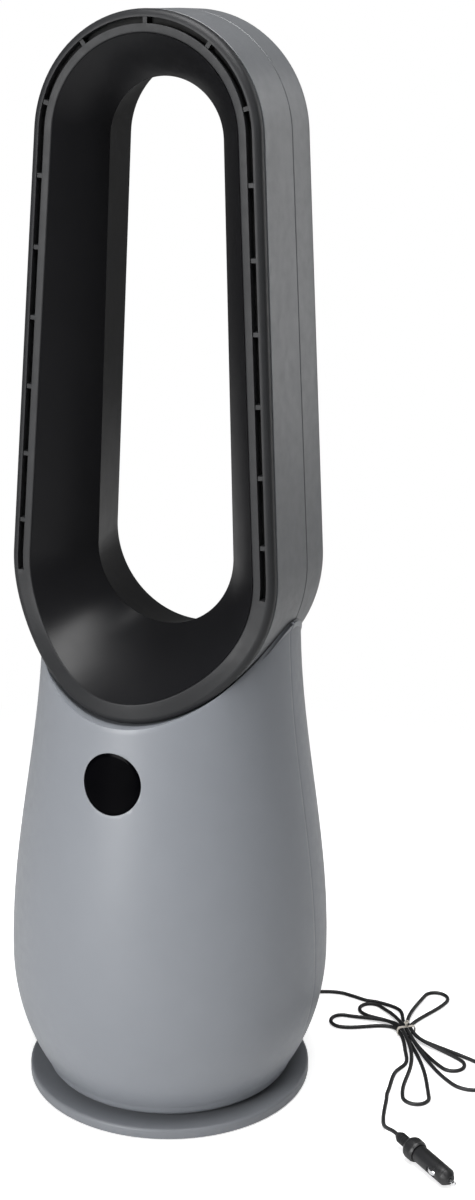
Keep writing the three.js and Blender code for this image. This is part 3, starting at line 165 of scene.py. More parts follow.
finishes = {
    "rim_black": finish(
        "rimBlack", (0.022, 0.0225, 0.024), 0.46, specular=0.25, mottle=0.08, bump=0.16, wave=0.02
    ),
    "casing_grey": finish("casingGrey", (0.13, 0.135, 0.143), 0.38, mottle=0.03, bump=0.1, wave=0.02),
    "seal_rubber": finish("sealRubber", (0.012, 0.012, 0.012), 0.85, mottle=0.1, bump=0.4),
    "funnel_black": finish(
        "funnelBlack",
        (0.009, 0.009, 0.01),
        0.3,
        mottle=0.08,
        patch=0.06,
        spread=0.02,
        bump=0.03,
        specular=0.2,
    ),
    "body_grey": finish("bodyGrey", (0.22, 0.233, 0.256), 0.38, mottle=0.03, bump=0.1, wave=0.02),
    "grille_grey": finish("grilleGrey", (0.1, 0.104, 0.11), 0.5, mottle=0.06, bump=0.2, dust=0.05),
    "display_gloss": finish(
        "displayGloss", (0.001, 0.001, 0.0015), 0.14, spread=0.03, bump=0.01, specular=0.02
    ),
    "board_green": finish("boardGreen", (0.02, 0.14, 0.05), 0.45, mottle=0.25, patch=0.004, bump=0.1),
    "inner_plastic": finish("innerPlastic", (0.05, 0.05, 0.055), 0.6, mottle=0.08, bump=0.2, dust=0.06),
    "motor_steel": finish(
        "motorSteel", (0.5, 0.5, 0.51), 0.38, metal=1, mottle=0.06, bump=0.05, brushed=True
    ),
    "motor_can": finish("motorCan", (0.56, 0.56, 0.57), 0.5, metal=1, mottle=0.08, bump=0.3),
    "base_grey": finish("baseGrey", (0.2, 0.21, 0.228), 0.42, mottle=0.04, bump=0.14, wave=0.02),
    "plate_steel": finish("plateSteel", (0.3, 0.3, 0.31), 0.45, metal=1, mottle=0.12, bump=0.15),
    "post_steel": finish(
        "postSteel", (0.6, 0.6, 0.61), 0.3, metal=1, mottle=0.06, bump=0.05, brushed=True
    ),
    "brass": finish("brassPlain", (0.62, 0.45, 0.2), 0.35, metal=1, mottle=0.1, bump=0.05),
    "cord_black": finish(
        "cordBlack", (0.012, 0.012, 0.013), 0.5, mottle=0.15, patch=0.01, bump=0.2, grain=0.0003
    ),
    "plug_black": finish(
        "plugBlack", (0.014, 0.014, 0.015), 0.42, mottle=0.15, patch=0.008, bump=0.2, grain=0.0004
    ),
    "contact_chrome": finish(
        "contactChrome", (0.7, 0.7, 0.71), 0.22, metal=1, mottle=0.08, patch=0.003, bump=0.04
    ),
    "tie_pale": finish(
        "tiePale", (0.6, 0.56, 0.5), 0.6, mottle=0.12, patch=0.002, bump=0.3, grain=0.0003
    ),
}
# Near-black painted shade for the deep faces inside the rim's closed slot channels
paintedSlotShade = finish("paintedSlotShade", (0.004, 0.004, 0.004), 0.8, mottle=0.1, bump=0.2)

for part in frame["record"]["subparts"]:
    node = frame["nodes"][part["node"]]
    if not node.material_slots:
        node.data.materials.append(None)
    for entry in node.material_slots:
        entry.link = "OBJECT"
        entry.material = finishes[part["material_slot"]]
print("materials made")


# Mesh helpers


def place(obj, body, slotName, *replaced):
    if obj.name not in collection.objects:
        collection.objects.link(obj)
    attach(obj, body)
    if replaced:
        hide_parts(*replaced)
    return obj


def meshPiece(name, vertices, faces, slotName, sharp=32, paintedShadeFinish=None):
    mesh = bpy.data.meshes.new(name)
    corners = [tuple(map(float, vertex)) for vertex in vertices]
    mesh.from_pydata(corners, [], [tuple(map(int, face)) for face in faces])
    work = bmesh.new()
    work.from_mesh(mesh)
    bmesh.ops.remove_doubles(work, verts=work.verts, dist=1e-6)
    bmesh.ops.recalc_face_normals(work, faces=work.faces)
    work.to_mesh(mesh)
    work.free()
    mesh.materials.append(finishes[slotName])
    # A second finish, used for painted shade on the faces picked out by the caller
    if paintedShadeFinish:
        mesh.materials.append(paintedShadeFinish)
    smooth(mesh, sharp)
    obj = bpy.data.objects.new(name, mesh)
    collection.objects.link(obj)
    return obj


def smooth(mesh, sharp):
    mesh.polygons.foreach_set("use_smooth", [True] * len(mesh.polygons))
    mesh.set_sharp_from_angle(angle=math.radians(sharp))


def gridFaces(rows, columns, wrapRows, wrapColumns, start=0):
    faces = []
    for row in range(rows if wrapRows else rows - 1):
        for column in range(columns if wrapColumns else columns - 1):
            below, beside = (row + 1) % rows, (column + 1) % columns
            around = ((row, column), (row, beside), (below, beside), (below, column))
            faces.append([start + r * columns + c for r, c in around])
    return faces


def loft(rails):
    # A closed skin through closed rails, each an array of places.
    count = len(rails[0])
    return np.concatenate(rails), gridFaces(len(rails), count, True, True)


def lathe(profile, segments=96, ripple=None):
    # A closed profile of (radius, height) turned about Z. Points on the axis may start and end it.
    angles = np.arange(segments) * 2 * math.pi / segments
    rails = []
    for index, (radius, height) in enumerate(profile):
        wide = np.full(segments, radius)
        if ripple and index in ripple[0]:
            wide = wide + ripple[1] * np.sign(np.cos(ripple[2] * angles))
        rails.append(np.stack([wide * np.cos(angles), wide * np.sin(angles), np.full(segments, height)], 1))
    return loft(rails)


def arc(x, y, radius, start, end, steps):
    # Points on an arc, in degrees.
    angles = np.radians(np.linspace(start, end, steps + 1))
    return [(x + radius * math.cos(a), y + radius * math.sin(a)) for a in angles]


def slab(front, back):
    # A closed plate between two grids of the same shape.
    rows, columns = front.shape[:2]
    count = rows * columns
    vertices = np.concatenate([front.reshape(-1, 3), back.reshape(-1, 3)])
    faces = gridFaces(rows, columns, False, False)
    faces += [face[::-1] for face in gridFaces(rows, columns, False, False, count)]
    edge = list(range(columns))
    edge += [r * columns + columns - 1 for r in range(1, rows)]
    edge += [(rows - 1) * columns + c for c in range(columns - 2, -1, -1)]
    edge += [r * columns for r in range(rows - 2, 0, -1)]
    for here, beside in zip(edge, edge[1:] + edge[:1]):
        faces.append([here, beside, beside + count, here + count])
    return vertices, faces


def gathered(parts):
    # Several (vertices, faces) as one.
    vertices, faces, start = [], [], 0
    for points, sides in parts:
        vertices.append(points)
        faces += [[start + corner for corner in side] for side in sides]
        start += len(points)
    return np.concatenate(vertices), faces


def tube(points, radius, sides=12):
    # A closed tube through points.
    points = np.asarray(points, float)
    heading = np.gradient(points, axis=0)
    heading /= np.linalg.norm(heading, axis=1)[:, None]
    up = np.array([0.0, 0.0, 1.0])
    rows = []
    for point, ahead in zip(points, heading):
        across = np.cross(up, ahead)
        if np.linalg.norm(across) < 1e-4:
            across = np.array([1.0, 0.0, 0.0])
        across /= np.linalg.norm(across)
        above = np.cross(ahead, across)
        angles = np.arange(sides) * 2 * math.pi / sides
        rows.append(point + radius * (np.cos(angles)[:, None] * across + np.sin(angles)[:, None] * above))
    faces = gridFaces(len(rows), sides, False, True)
    faces.append(list(range(sides)))
    faces.append([(len(rows) - 1) * sides + side for side in range(sides)][::-1])
    return np.concatenate(rows), faces


def settled(obj, sharp=32):
    # The piece with its modifiers applied.
    bpy.context.view_layer.update()
    mesh = bpy.data.meshes.new_from_object(obj.evaluated_get(bpy.context.evaluated_depsgraph_get()))
    obj.modifiers.clear()
    obj.data = mesh
    smooth(mesh, sharp)
    return obj


def cutBy(obj, *cutters):
    # Cuts holes with other meshes, which are then removed.
    for cutter in cutters:
        modifier = obj.modifiers.new("cut", "BOOLEAN")
        modifier.operation = "DIFFERENCE"
        modifier.solver = "EXACT"
        modifier.object = cutter
    settled(obj)
    for cutter in cutters:
        bpy.data.objects.remove(cutter)
    return obj


def softened(obj, width, angle=40, steps=2):
    # Small rounds on the hard edges.
    modifier = obj.modifiers.new("round", "BEVEL")
    modifier.width = width
    modifier.segments = steps
    modifier.limit_method = "ANGLE"
    modifier.angle_limit = math.radians(angle)
    return settled(obj)

# Lead: the route's knots are the CAD's, in its own millimetres

hank = {
    "tie": (198, 148),
    "heading": math.radians(-53),
    "pitch": 2.3,
    "layer": 4.45,
    "half": 4.5,
    "settle": 16,
    "radius": 1.9,
    "floor": 2.0,
    "low": 3.3,
    "bendSettle": 0.6,
}
exitAngle = math.radians(70)
exitDistance = {"start": 134.945, "edge": 137, "grommet": 159, "down": 167}
# Each loop: side of the tie, its strands, angle, length, half width of its end, settling length, pull
petals = [
    (1, 5, 6, 19.5, 85, 12.35, 55, 0.93),
    (-1, 6, 7, 42.1, 94.7, 12.47, 71.4, 0.68),
    (1, 7, 4, 20.1, 125.2, 24.5, 83.5, 0.55),
    (-1, 4, 3, -19.6, 69.9, 12.15, 57, 1.6),
    (1, 3, 2, -14.9, 133.9, 12.63, 80, 1.6),
    (-1, 2, 1, -55.4, 80, 12.31, 46.3, 1.21),
]
upperLayer = math.sqrt(hank["layer"] ** 2 - hank["pitch"] ** 2)
hankAlong = np.array([math.cos(hank["heading"]), math.sin(hank["heading"])])
hankAcross = np.array([-hankAlong[1], hankAlong[0]])


def smoothShare(share):
    share = min(1.0, max(0.0, share))
    return share * share * (3 - 2 * share)


def strandAcross(strand):
    return (strand - 4) * hank["pitch"]


def hankPlace(along, across, height):
    flat = np.array(hank["tie"]) + hankAlong * along + hankAcross * across
    return np.array([flat[0], flat[1], height])


def strandHeight(strand, along, settle):
    away = abs(along) - hank["half"]
    above = upperLayer * (1 - smoothShare(away / settle)) if strand % 2 == 0 else 0
    return hank["floor"] + (hank["low"] - hank["floor"]) * (1 - smoothShare(away / hank["settle"])) + above


def petalPoints(petal, steps=36):
    side, start, stop, degrees, length, half, settle, pull = petal
    angle = math.radians(degrees)
    heading = np.array([side * math.cos(angle), math.sin(angle)])
    centre = heading * (length - half)
    sideways = np.array([-heading[1], heading[0]])
    if (strandAcross(start) - strandAcross(stop)) * sideways[1] < 0:
        sideways = -sideways
    first, last = centre + sideways * half, centre - sideways * half

    def leg(strand, target, t):
        begin = np.array([side * hank["half"], strandAcross(strand)])
        reach = np.linalg.norm(target - begin)
        point = begin * (2 * t**3 - 3 * t**2 + 1) + target * (3 * t**2 - 2 * t**3)
        point = point + heading * (t**3 - t**2) * reach
        point[0] += side * pull * reach * (t**3 - 2 * t**2 + t)
        return hankPlace(*point, strandHeight(strand, point[0], settle))

    def bend(share):
        turn = math.pi * share
        point = centre + sideways * half * math.cos(turn) + heading * half * math.sin(turn)
        left = lambda strand, at: strandHeight(strand, at[0], settle) - hank["floor"]
        fallen = left(start, first) * (1 - smoothShare(share / hank["bendSettle"]))
        fallen += left(stop, last) * (1 - smoothShare((1 - share) / hank["bendSettle"]))
        return hankPlace(*point, hank["floor"] + fallen)

    shares = [step / steps for step in range(steps)]
    out = [leg(start, first, share) for share in shares]
    back = [leg(stop, last, share) for share in shares[::-1]]
    return out + [bend(share) for share in shares] + [bend(1)] + back


def throughKnots(knots, steps=14):
    # A centripetal Catmull-Rom route.
    knots = [np.array(knot, float) for knot in knots]
    points = []
    for index in range(len(knots) - 1):
        p1, p2 = knots[index], knots[index + 1]
        p0 = knots[index - 1] if index else 2 * p1 - p2
        p3 = knots[index + 2] if index + 2 < len(knots) else 2 * p2 - p1
        d0, d1, d2 = (math.sqrt(np.linalg.norm(b - a)) for a, b in ((p0, p1), (p1, p2), (p2, p3)))
        m1 = ((p1 - p0) / d0 - (p2 - p0) / (d0 + d1) + (p2 - p1) / d1) * d1
        m2 = ((p2 - p1) / d1 - (p3 - p1) / (d1 + d2) + (p3 - p2) / d2) * d1
        for step in range(steps):
            t = step / steps
            point = p1 * (2 * t**3 - 3 * t**2 + 1) + m1 * (t**3 - 2 * t**2 + t)
            points.append(point + p2 * (3 * t**2 - 2 * t**3) + m2 * (t**3 - t**2))
    return points + [knots[-1]]


plug = {
    "start": (252.5, -49),
    "heading": math.radians(-35),
    "boot": 18,
    "grip": 14,
    "gripRadius": 10.5,
    "barrel": 39,
    "barrelRadius": 8.2,
    "lift": 0.15,
}
plugTilt = math.atan((plug["gripRadius"] - plug["barrelRadius"]) / (plug["barrel"] + plug["grip"] / 2))
gripEnd = plug["boot"] + plug["grip"]
plugHeight = plug["lift"] + plug["gripRadius"] * math.cos(plugTilt) + gripEnd * math.sin(plugTilt)
plugMatrix = (
    Matrix.Translation((*(value * mm for value in plug["start"]), plugHeight * mm))
    @ Matrix.Rotation(plug["heading"], 4, "Z")
    @ Matrix.Rotation(plugTilt, 4, "Y")
)


def plugPoint(distance):
    return np.array(plugMatrix @ Vector((distance * mm, 0, 0))) / mm


def makeRoute():
    out = np.array([math.cos(exitAngle), math.sin(exitAngle)])
    low = hank["low"]
    inKnots = [(-87.5, -30.6, 2), (-84.8, -28, 2), (-74, -18, 2), (-67.6, -7.7, 2), (-47.1, 9, 2.1)]
    inKnots += [(-22.8, 5.1, 2.6), (-13, 3.15, low - 0.2), (-4.5, 2.3, low), (4.5, 2.3, low)]
    outKnots = [(-4.5, -6.9, low), (4.5, -6.9, low), (14, -7.9, low - 0.2), (31.1, -11.9, 2.4)]
    outKnots += [(54.7, -19.2, 2), (70, -36, 2), (95, -50.5, 2), (98.5, -52.5, 2)]
    middle = throughKnots([hankPlace(*knot) for knot in inKnots])
    for petal in petals:
        middle += petalPoints(petal)
    middle += throughKnots([hankPlace(*knot) for knot in outKnots])
    first, second, before, last = middle[0], middle[1], middle[-2], middle[-1]
    inward = (first - second) / np.linalg.norm(first - second)
    outward = (last - before) / np.linalg.norm(last - before)
    levels = (("start", 6), ("grommet", 6), ("down", 4.6))
    lead = [(*(out * exitDistance[spot]), height) for spot, height in levels]
    lead += [(66, 174, 2.5), (80, 189, 2.1), (98, 198.5, 2), first + inward * 9, first + inward * 4, first]
    tail = [last, last + outward * 4, last + outward * 8, (219, 20, 2.2), (222.5, 4, 2.3), (226.5, -12, 3)]
    tail += [(233.5, -30, 6), plugPoint(-5.7), plugPoint(-0.3), plugPoint(14)]
    route = throughKnots(lead) + middle + throughKnots(tail)
    kept = [route[0]]
    for point in route[1:]:
        if np.linalg.norm(point - kept[-1]) > 0.6:
            kept.append(point)
    return np.array(kept) * mm


route = makeRoute()
routeLength = float(np.linalg.norm(np.diff(route, axis=0), axis=1).sum())
curve = bpy.data.curves.new("lead", "CURVE")
curve.dimensions = "3D"
curve.bevel_depth = hank["radius"] * mm
curve.bevel_resolution = 5
curve.use_fill_caps = True
spline = curve.splines.new("POLY")
spline.points.add(len(route) - 1)
spline.points.foreach_set("co", np.hstack([route, np.ones((len(route), 1))]).ravel())
spline.use_smooth = True
curve.materials.append(finishes["cord_black"])
lead = bpy.data.objects.new("leadFine", curve)
place(lead, "base", "cord_black", "cord_lead", "cord_hank", "cord_tail")
print("lead made", round(routeLength, 3))

# Air ring: the outlines are circles joined by tangents, as in the CAD

fanHeight = 1.0
ringFoot = 0.398


def outline(topRadius, topDrop, footRadius, footRise):
    topCentre = fanHeight - topDrop - topRadius
    return np.array([topRadius, footRadius, topCentre, ringFoot + footRise + footRadius])


def inset(line, distance):
    return line - np.array([distance, distance, 0, 0])


ring = {
    "face": -60.3 * mm,
    "lean": 11.4 * mm,
    "chin": 39 * mm,
    "seam": 9.4 * mm,
    "seamGap": 1.4 * mm,
    "rear": 62 * mm,
    "wall": 2.6 * mm,
    "gap": 0.3 * mm,
}
ringLine = outline(104 * mm, 0, 127 * mm, 0)
creaseLine = outline(53 * mm, 54 * mm, 67 * mm, 66 * mm)
mouthLine = outline(70 * mm, 38 * mm, 85 * mm, 47 * mm)


def tilt(line):
    return math.asin((line[1] - line[0]) / (line[2] - line[3]))


def outlinePoint(line, where):
    topRadius, footRadius, topCentre, footCentre = line
    part, share = where
    lean = tilt(line)
    top = lambda angle: (topRadius * math.cos(angle), topCentre + topRadius * math.sin(angle))
    foot = lambda angle: (footRadius * math.cos(angle), footCentre + footRadius * math.sin(angle))
    if part == "top":
        return top(lean + (math.pi - 2 * lean) * share)
    if part == "foot":
        return foot(math.pi - lean + (math.pi + 2 * lean) * share)
    side = math.pi - lean if part == "left" else lean
    begin, end = (top(side), foot(side)) if part == "left" else (foot(side), top(side))
    return tuple(a + (b - a) * share for a, b in zip(begin, end))


def forwardShift(where):
    height = outlinePoint(ringLine, where)[1]
    fallen = (fanHeight - height) / (fanHeight - ringLine[3])
    below = max(0.0, (ringLine[3] - height) / ringLine[1])
    return ring["lean"] * min(fallen, 1.27) + ring["chin"] * below**3


def evenPlaces():
    steps = (("top", 72), ("left", 30), ("foot", 96), ("right", 30))
    return [(part, index / count) for part, count in steps for index in range(count)]


ringPlaces = evenPlaces()


def rail(line, y, forward, places=ringPlaces):
    # The line that one corner of the section draws round the ring.
    points = [outlinePoint(line, where) for where in places]
    return np.array([(x, y - forward * forwardShift(where), z) for (x, z), where in zip(points, places)])


# Places by distance along the slots' line, from the top centre down one side
slots = {
    "inset": 6.6 * mm,
    "width": 5.2 * mm,
    "pitch": 60.7 * mm,
    "bridge": 4.2 * mm,
    "count": 9,
    "last": 44 * mm,
    "deep": 9 * mm,
    "rib": 1.3 * mm,
    "edge": 0.25 * mm,
    "step": 5 * mm,
}
slotLine = inset(ringLine, slots["inset"] + slots["width"] / 2)
slotTilt = tilt(slotLine)
slotTop = slotLine[0] * (math.pi / 2 - slotTilt)
slotSide = math.hypot(slotLine[2] - slotLine[3], slotLine[1] - slotLine[0]) * math.cos(slotTilt)
halfRound = slotTop + slotSide + slotLine[1] * (math.pi / 2 + slotTilt)


def slotPlace(distance, side):
    if distance < slotTop:
        share = 0.5 - distance / slotTop / 2
        return ("top", share if side > 0 else 1 - share)
    if distance < slotTop + slotSide:
        share = 1 - (distance - slotTop) / slotSide
        return ("right", share) if side > 0 else ("left", 1 - share)
    share = 1 - (distance - slotTop - slotSide) / slotLine[1] / (math.pi + 2 * slotTilt)
    return ("foot", share if side > 0 else 1 - share)


def slotDepths():
    # Distances down one side, with the depth of the channel at each.
    stops = []
    for index in range(slots["count"]):
        begin = index * slots["pitch"] + slots["bridge"] / 2
        length = slots["last"] if index == slots["count"] - 1 else slots["pitch"] - slots["bridge"]
        count = max(2, round(length / slots["step"]))
        inside = [begin + length * part / count for part in range(count + 1)]
        rib = 0 if index == slots["count"] - 1 else slots["rib"]
        stops += [(begin - slots["edge"], slots["rib"])]
        stops += [(distance, slots["deep"]) for distance in inside]
        stops += [(inside[-1] + slots["edge"], rib)]
    last = stops[-1][0]
    plain = round((halfRound - last) / slots["step"])
    stops += [(last + (halfRound - last) * part / plain, 0) for part in range(1, plain + 1)]
    return stops


def makeRim():
    down = slotDepths()
    stops = [(0, slots["rib"], -1)] + [(d, depth, -1) for d, depth in down]
    stops += [(d, depth, 1) for d, depth in down[:-1][::-1]]
    places = [slotPlace(distance, side) for distance, _, side in stops]
    depth = np.array([deep for _, deep, _ in stops])
    face, tiny = ring["face"], 0.2 * mm
    near, far = slots["inset"], slots["inset"] + slots["width"]
    outer = [(4.2, 12), (1.6, 12), (1.6, 9.2), (1.4, 9), (0.3, 9), (0, 8.7), (0, 6)]
    outer += arc(6, 6, 6, 180, 270, 8)[1:]
    inner = arc(17.6, 1.4, 1.4, 270, 360, 4) + [(19, 4), (18.6, 4.6), (18, 12)]
    lines = [rail(inset(ringLine, d * mm), face + y * mm, 1, places) for d, y in outer]
    walls = ((near - tiny, 0), (near, tiny), (near, None), (far, None), (far, tiny), (far + tiny, 0))
    for distance, low in walls:
        line = rail(inset(ringLine, distance), face, 1, places)
        line[:, 1] += depth if low is None else np.minimum(low, depth)
        lines.append(line)
    lines += [rail(inset(ringLine, d * mm), face + y * mm, 1, places) for d, y in inner]
    vertices, faces = loft(lines)
    rim = meshPiece("outletRimFine", vertices, faces, "rim_black", paintedShadeFinish=paintedSlotShade)
    # Faces deep in the slots take the second finish: painted shade inside the channels
    deepest = face + slots["deep"] * 0.6
    for polygon in rim.data.polygons:
        if all(isDeep(rim.data.vertices[v].co, deepest) for v in polygon.vertices):
            polygon.material_index = 1
    return rim


def isDeep(point, level):
    # Whether a point lies in a slot: behind the face, between the slot's two walls.
    line = inset(ringLine, slots["inset"] - 0.05 * mm)
    centre = line[2] if point.z > line[2] else line[3]
    radius = line[0] if point.z > line[2] else line[1]
    share = min(1.0, max(0.0, (line[2] - point.z) / (line[2] - line[3])))
    wide = line[0] + (line[1] - line[0]) * share
    between = line[3] < point.z < line[2]
    away = abs(point.x) if between else math.hypot(point.x, point.z - centre)
    edge = wide if between else radius
    shift = ring["lean"] * min((fanHeight - point.z) / (fanHeight - ringLine[3]), 1.27)
    chin = ring["chin"] * max(0.0, (ringLine[3] - point.z) / ringLine[1]) ** 3
    behind = point.y + shift + chin > level
    return behind and edge - slots["width"] - 0.8 * mm < away < edge + 0.4 * mm


place(makeRim(), "upper", "rim_black", "air_outlet_rim")
seamFront = ring["seam"] - ring["seamGap"] / 2
seamRear = ring["seam"] + ring["seamGap"] / 2


def between(first, second, shares):
    return [first + (second - first) * share for share in shares]


def makeFrontCasing():
    front = ring["face"] + 12 * mm + ring["gap"]
    at = lambda distance, y, forward: rail(inset(ringLine, distance * mm), y, forward)
    begin, end = at(0, front, 1), at(-1, seamFront, 0)
    shares = [0.006, 0.1, 0.3, 0.5, 0.7, 0.9, 0.992]
    lines = [at(0.4, front, 1), *between(begin, end, shares), at(-0.5, seamFront, 0)]
    lines += [at(1.6, seamFront, 0), at(2.6, front, 1)]
    return meshPiece("frontCasingFine", *loft(lines), "casing_grey")


def makeRearCasing():
    mouth, rear, wall = inset(mouthLine, -2.8 * mm), ring["rear"], ring["wall"]
    at = lambda distance, y: rail(inset(ringLine, distance * mm), y, 0)
    lines = [at(-0.5, seamRear), at(-1, seamRear + 0.4 * mm)]
    lines += [at(-1, seamRear + (rear - 0.014 - seamRear) * share) for share in (0.1, 0.4, 0.7, 1)]
    lines += [at(x, rear + y * mm) for x, y in [(13 + a, -14 + b) for a, b in arc(0, 0, 14, 180, 90, 10)][1:]]
    lines += between(at(13, rear), rail(mouth, rear, 0), (0.5, 0.98))
    lines += [rail(mouth, rear - 0.4 * mm, 0), rail(mouth, rear - wall, 0), at(14, rear - wall)]
    lines += [at(5, rear - 0.007), at(1.6, rear - 0.016), at(1.6, seamRear)]
    return meshPiece("rearCasingFine", *loft(lines), "casing_grey")


def makeSeal():
    front, rear = seamFront + ring["gap"], seamRear - ring["gap"]
    spots = ((-0.5, front), (-0.5, rear), (1.6, rear), (1.6, front))
    lines = [rail(inset(ringLine, d * mm), y, 0) for d, y in spots]
    return meshPiece("seamSealFine", *loft(lines), "seal_rubber")


def crowned(first, middle, last, shares):
    # Rails on the parabola through three.
    return [
        first * (1 - t) * (1 - 2 * t) + middle * 4 * t * (1 - t) + last * t * (2 * t - 1) for t in shares
    ]


def makeFunnel():
    crown, wall, crease = 2.4 * mm, 2.5 * mm, -16 * mm
    rimInner = inset(ringLine, 19 * mm)
    middleLine = (rimInner + creaseLine) / 2
    middle = (ring["face"] + crease) / 2
    edge = inset(ringLine, 19.3 * mm)
    front = rail(edge, ring["face"] + 0.6 * mm, 1)
    centre = rail(inset(middleLine, crown), middle, 0.5)
    throat = rail(creaseLine, crease, 0)
    lines = crowned(front, centre, throat, np.linspace(0, 1, 13))
    lines.append(rail(inset(creaseLine, -wall), crease + wall * 0.8, 0))
    lines.append(rail(inset(middleLine, crown - wall), middle + wall, 0.5))
    lines.append(rail(edge, ring["face"] + 5 * mm, 1))
    return meshPiece("funnelFine", *loft(lines), "funnel_black")


def makeBand():
    wall, front, rear = 2.5 * mm, -16 * mm + ring["gap"], ring["rear"]
    begin, end = rail(creaseLine, front, 0), rail(mouthLine, rear, 0)
    lines = between(begin, end, (0, 0.15, 0.35, 0.55, 0.75, 0.9, 0.985))
    lines.append(rail(inset(mouthLine, -0.4 * mm), rear, 0))
    lines += [rail(inset(mouthLine, -wall), rear, 0), rail(inset(creaseLine, -wall), front + wall * 0.8, 0)]
    return meshPiece("rearBandFine", *loft(lines), "funnel_black")


place(makeFrontCasing(), "upper", "casing_grey", "ring_front_casing")
place(makeRearCasing(), "upper", "casing_grey", "ring_rear_casing")
place(makeSeal(), "upper", "seal_rubber", "ring_seam_seal")
place(makeFunnel(), "upper", "funnel_black", "ring_funnel")
place(makeBand(), "upper", "funnel_black", "ring_rear_band")
print("ring made")


# Body

body = {
    "floor": 14 * mm,
    "belly": 151.5 * mm,
    "bellyHeight": 134 * mm,
    "bowl": 183 * mm,
    "waist": 118.7 * mm,
    "waistHeight": 480 * mm,
    "wall": 3 * mm,
    "floorRound": 9 * mm,
    "floorLedge": 19.5 * mm,
    "frontEdge": -5 * mm,
    "rearEdge": -4.7 * mm,
    "saddle": 128.3 * mm,
    "neckHole": 46 * mm,
}


def bodyRadius(height):
    if height < body["bellyHeight"]:
        return body["belly"] * math.sqrt(1 - ((body["bellyHeight"] - height) / body["bowl"]) ** 2)
    share = min(1.0, (height - body["bellyHeight"]) / (body["waistHeight"] - body["bellyHeight"]))
    return body["waist"] + (body["belly"] - body["waist"]) * (1 + math.cos(math.pi * share)) / 2


def saddleHeight(x):
    return ringLine[3] - math.sqrt(max(0.0, body["saddle"] ** 2 - x * x))


def onBody(across, height, side, sink=0.0):
    # A point of the body's surface by its x and height, in front (-1) or behind (1).
    radius = bodyRadius(height) - sink
    return (across, side * math.sqrt(max(0.0, radius**2 - across**2)), height)


def makeShell(name, side):
    # One skin: floor ring, rounded edge, wall up to the ring, and the saddle under the ring.
    edge = body["frontEdge"] if side < 0 else body["rearEdge"]
    low = body["floor"] + body["floorRound"]
    full = bodyRadius(low)
    columns, wallRows, saddleRows = 112, 72, 10
    panEdge = full - body["floorRound"] - body["floorLedge"] + 0.3 * mm
    foot = [(panEdge, body["floor"]), (panEdge + 8 * mm, body["floor"])]
    foot += [(full - 9 * mm + a, low + b) for a, b in arc(0, 0, body["floorRound"], 270, 360, 6)][:-1]
    rows = []

    def ringRow(radiusAt):
        row = []
        for column in range(columns + 1):
            turn = 2 * column / columns - 1
            radius, height = radiusAt(turn)
            reach = math.acos(max(-1.0, min(1.0, side * edge / radius)))
            angle = turn * reach
            row.append((radius * math.sin(angle), side * radius * math.cos(angle), height))
        return row

    def topOf(turn):
        height = 0.45
        for _ in range(60):
            radius = bodyRadius(height)
            angle = turn * math.acos(side * edge / radius)
            height += 0.5 * (saddleHeight(radius * math.sin(angle)) - height)
        return height

    tops = {2 * column / columns - 1: topOf(2 * column / columns - 1) for column in range(columns + 1)}
    for radius, height in foot:
        rows.append(ringRow(lambda turn, r=radius, h=height: (r, h)))
    for step in range(wallRows + 1):
        share = (step / wallRows) ** 1.05

        def at(turn):
            height = low + (tops[turn] - low) * share
            return bodyRadius(height), height

        rows.append(ringRow(at))
    lip = rows[-1]
    for step in range(1, saddleRows + 1):
        row = []
        for x, y, z in lip:
            hole = math.sqrt(max(0.0, body["neckHole"] ** 2 - x * x))
            stop = side * max(side * edge, hole)
            row.append((x, y + (stop - y) * step / saddleRows, z))
        rows.append(row)
    vertices = np.array(rows).reshape(-1, 3)
    shell = meshPiece(name, vertices, gridFaces(len(rows), columns + 1, False, False), "body_grey")
    middle = shell.data.polygons[len(shell.data.polygons) // 3]
    outward = Vector((middle.center.x, middle.center.y, 0)).dot(middle.normal) > 0
    wall = shell.modifiers.new("wall", "SOLIDIFY")
    wall.thickness = body["wall"]
    wall.offset = -1 if outward else 1
    wall.use_even_offset = True
    return settled(shell)


def roundedRectangle(halfWidth, low, high, corner, steps=8):
    points = []
    for x, z, start in ((1, 1, 0), (-1, 1, 90), (-1, -1, 180), (1, -1, 270)):
        centre = (x * (halfWidth - corner), (high - corner) if z > 0 else (low + corner))
        points += arc(*centre, corner, start, start + 90, steps)
    return points


def cutterAlongY(name, points, front, rear):
    grid = np.array([[(x, y, z) for x, z in points] for y in (front, rear)])
    count = len(points)
    faces = gridFaces(2, count, False, True) + [list(range(count)), list(range(2 * count - 1, count - 1, -1))]
    return meshPiece(name, grid.reshape(-1, 3), faces, "body_grey")


display = {"height": 346.5 * mm, "radius": 28 * mm, "window": 27.7 * mm, "wall": 2.2 * mm}
grille = {
    "halfWidth": 104 * mm,
    "low": 62 * mm,
    "high": 206 * mm,
    "corner": 24 * mm,
    "edge": 8 * mm,
    "pitch": 5.6 * mm,
    "bar": 2.3 * mm,
    "deep": 2.4 * mm,
    "rails": ((134 * mm, 6 * mm), (102 * mm, 2.4 * mm), (166 * mm, 2.4 * mm)),
}
displayHole = arc(0, display["height"], display["radius"], 0, 360, 96)[:-1]
frontShell = cutBy(makeShell("frontShellFine", -1), cutterAlongY("displayHole", displayHole, -0.2, -0.05))
grilleHole = roundedRectangle(grille["halfWidth"], grille["low"], grille["high"], grille["corner"])
rearShell = cutBy(makeShell("rearShellFine", 1), cutterAlongY("grilleHole", grilleHole, 0.02, 0.3))
place(softened(frontShell, 0.7 * mm), "upper", "body_grey", "body_front_shell")
place(softened(rearShell, 0.7 * mm), "upper", "body_grey", "body_rear_shell")


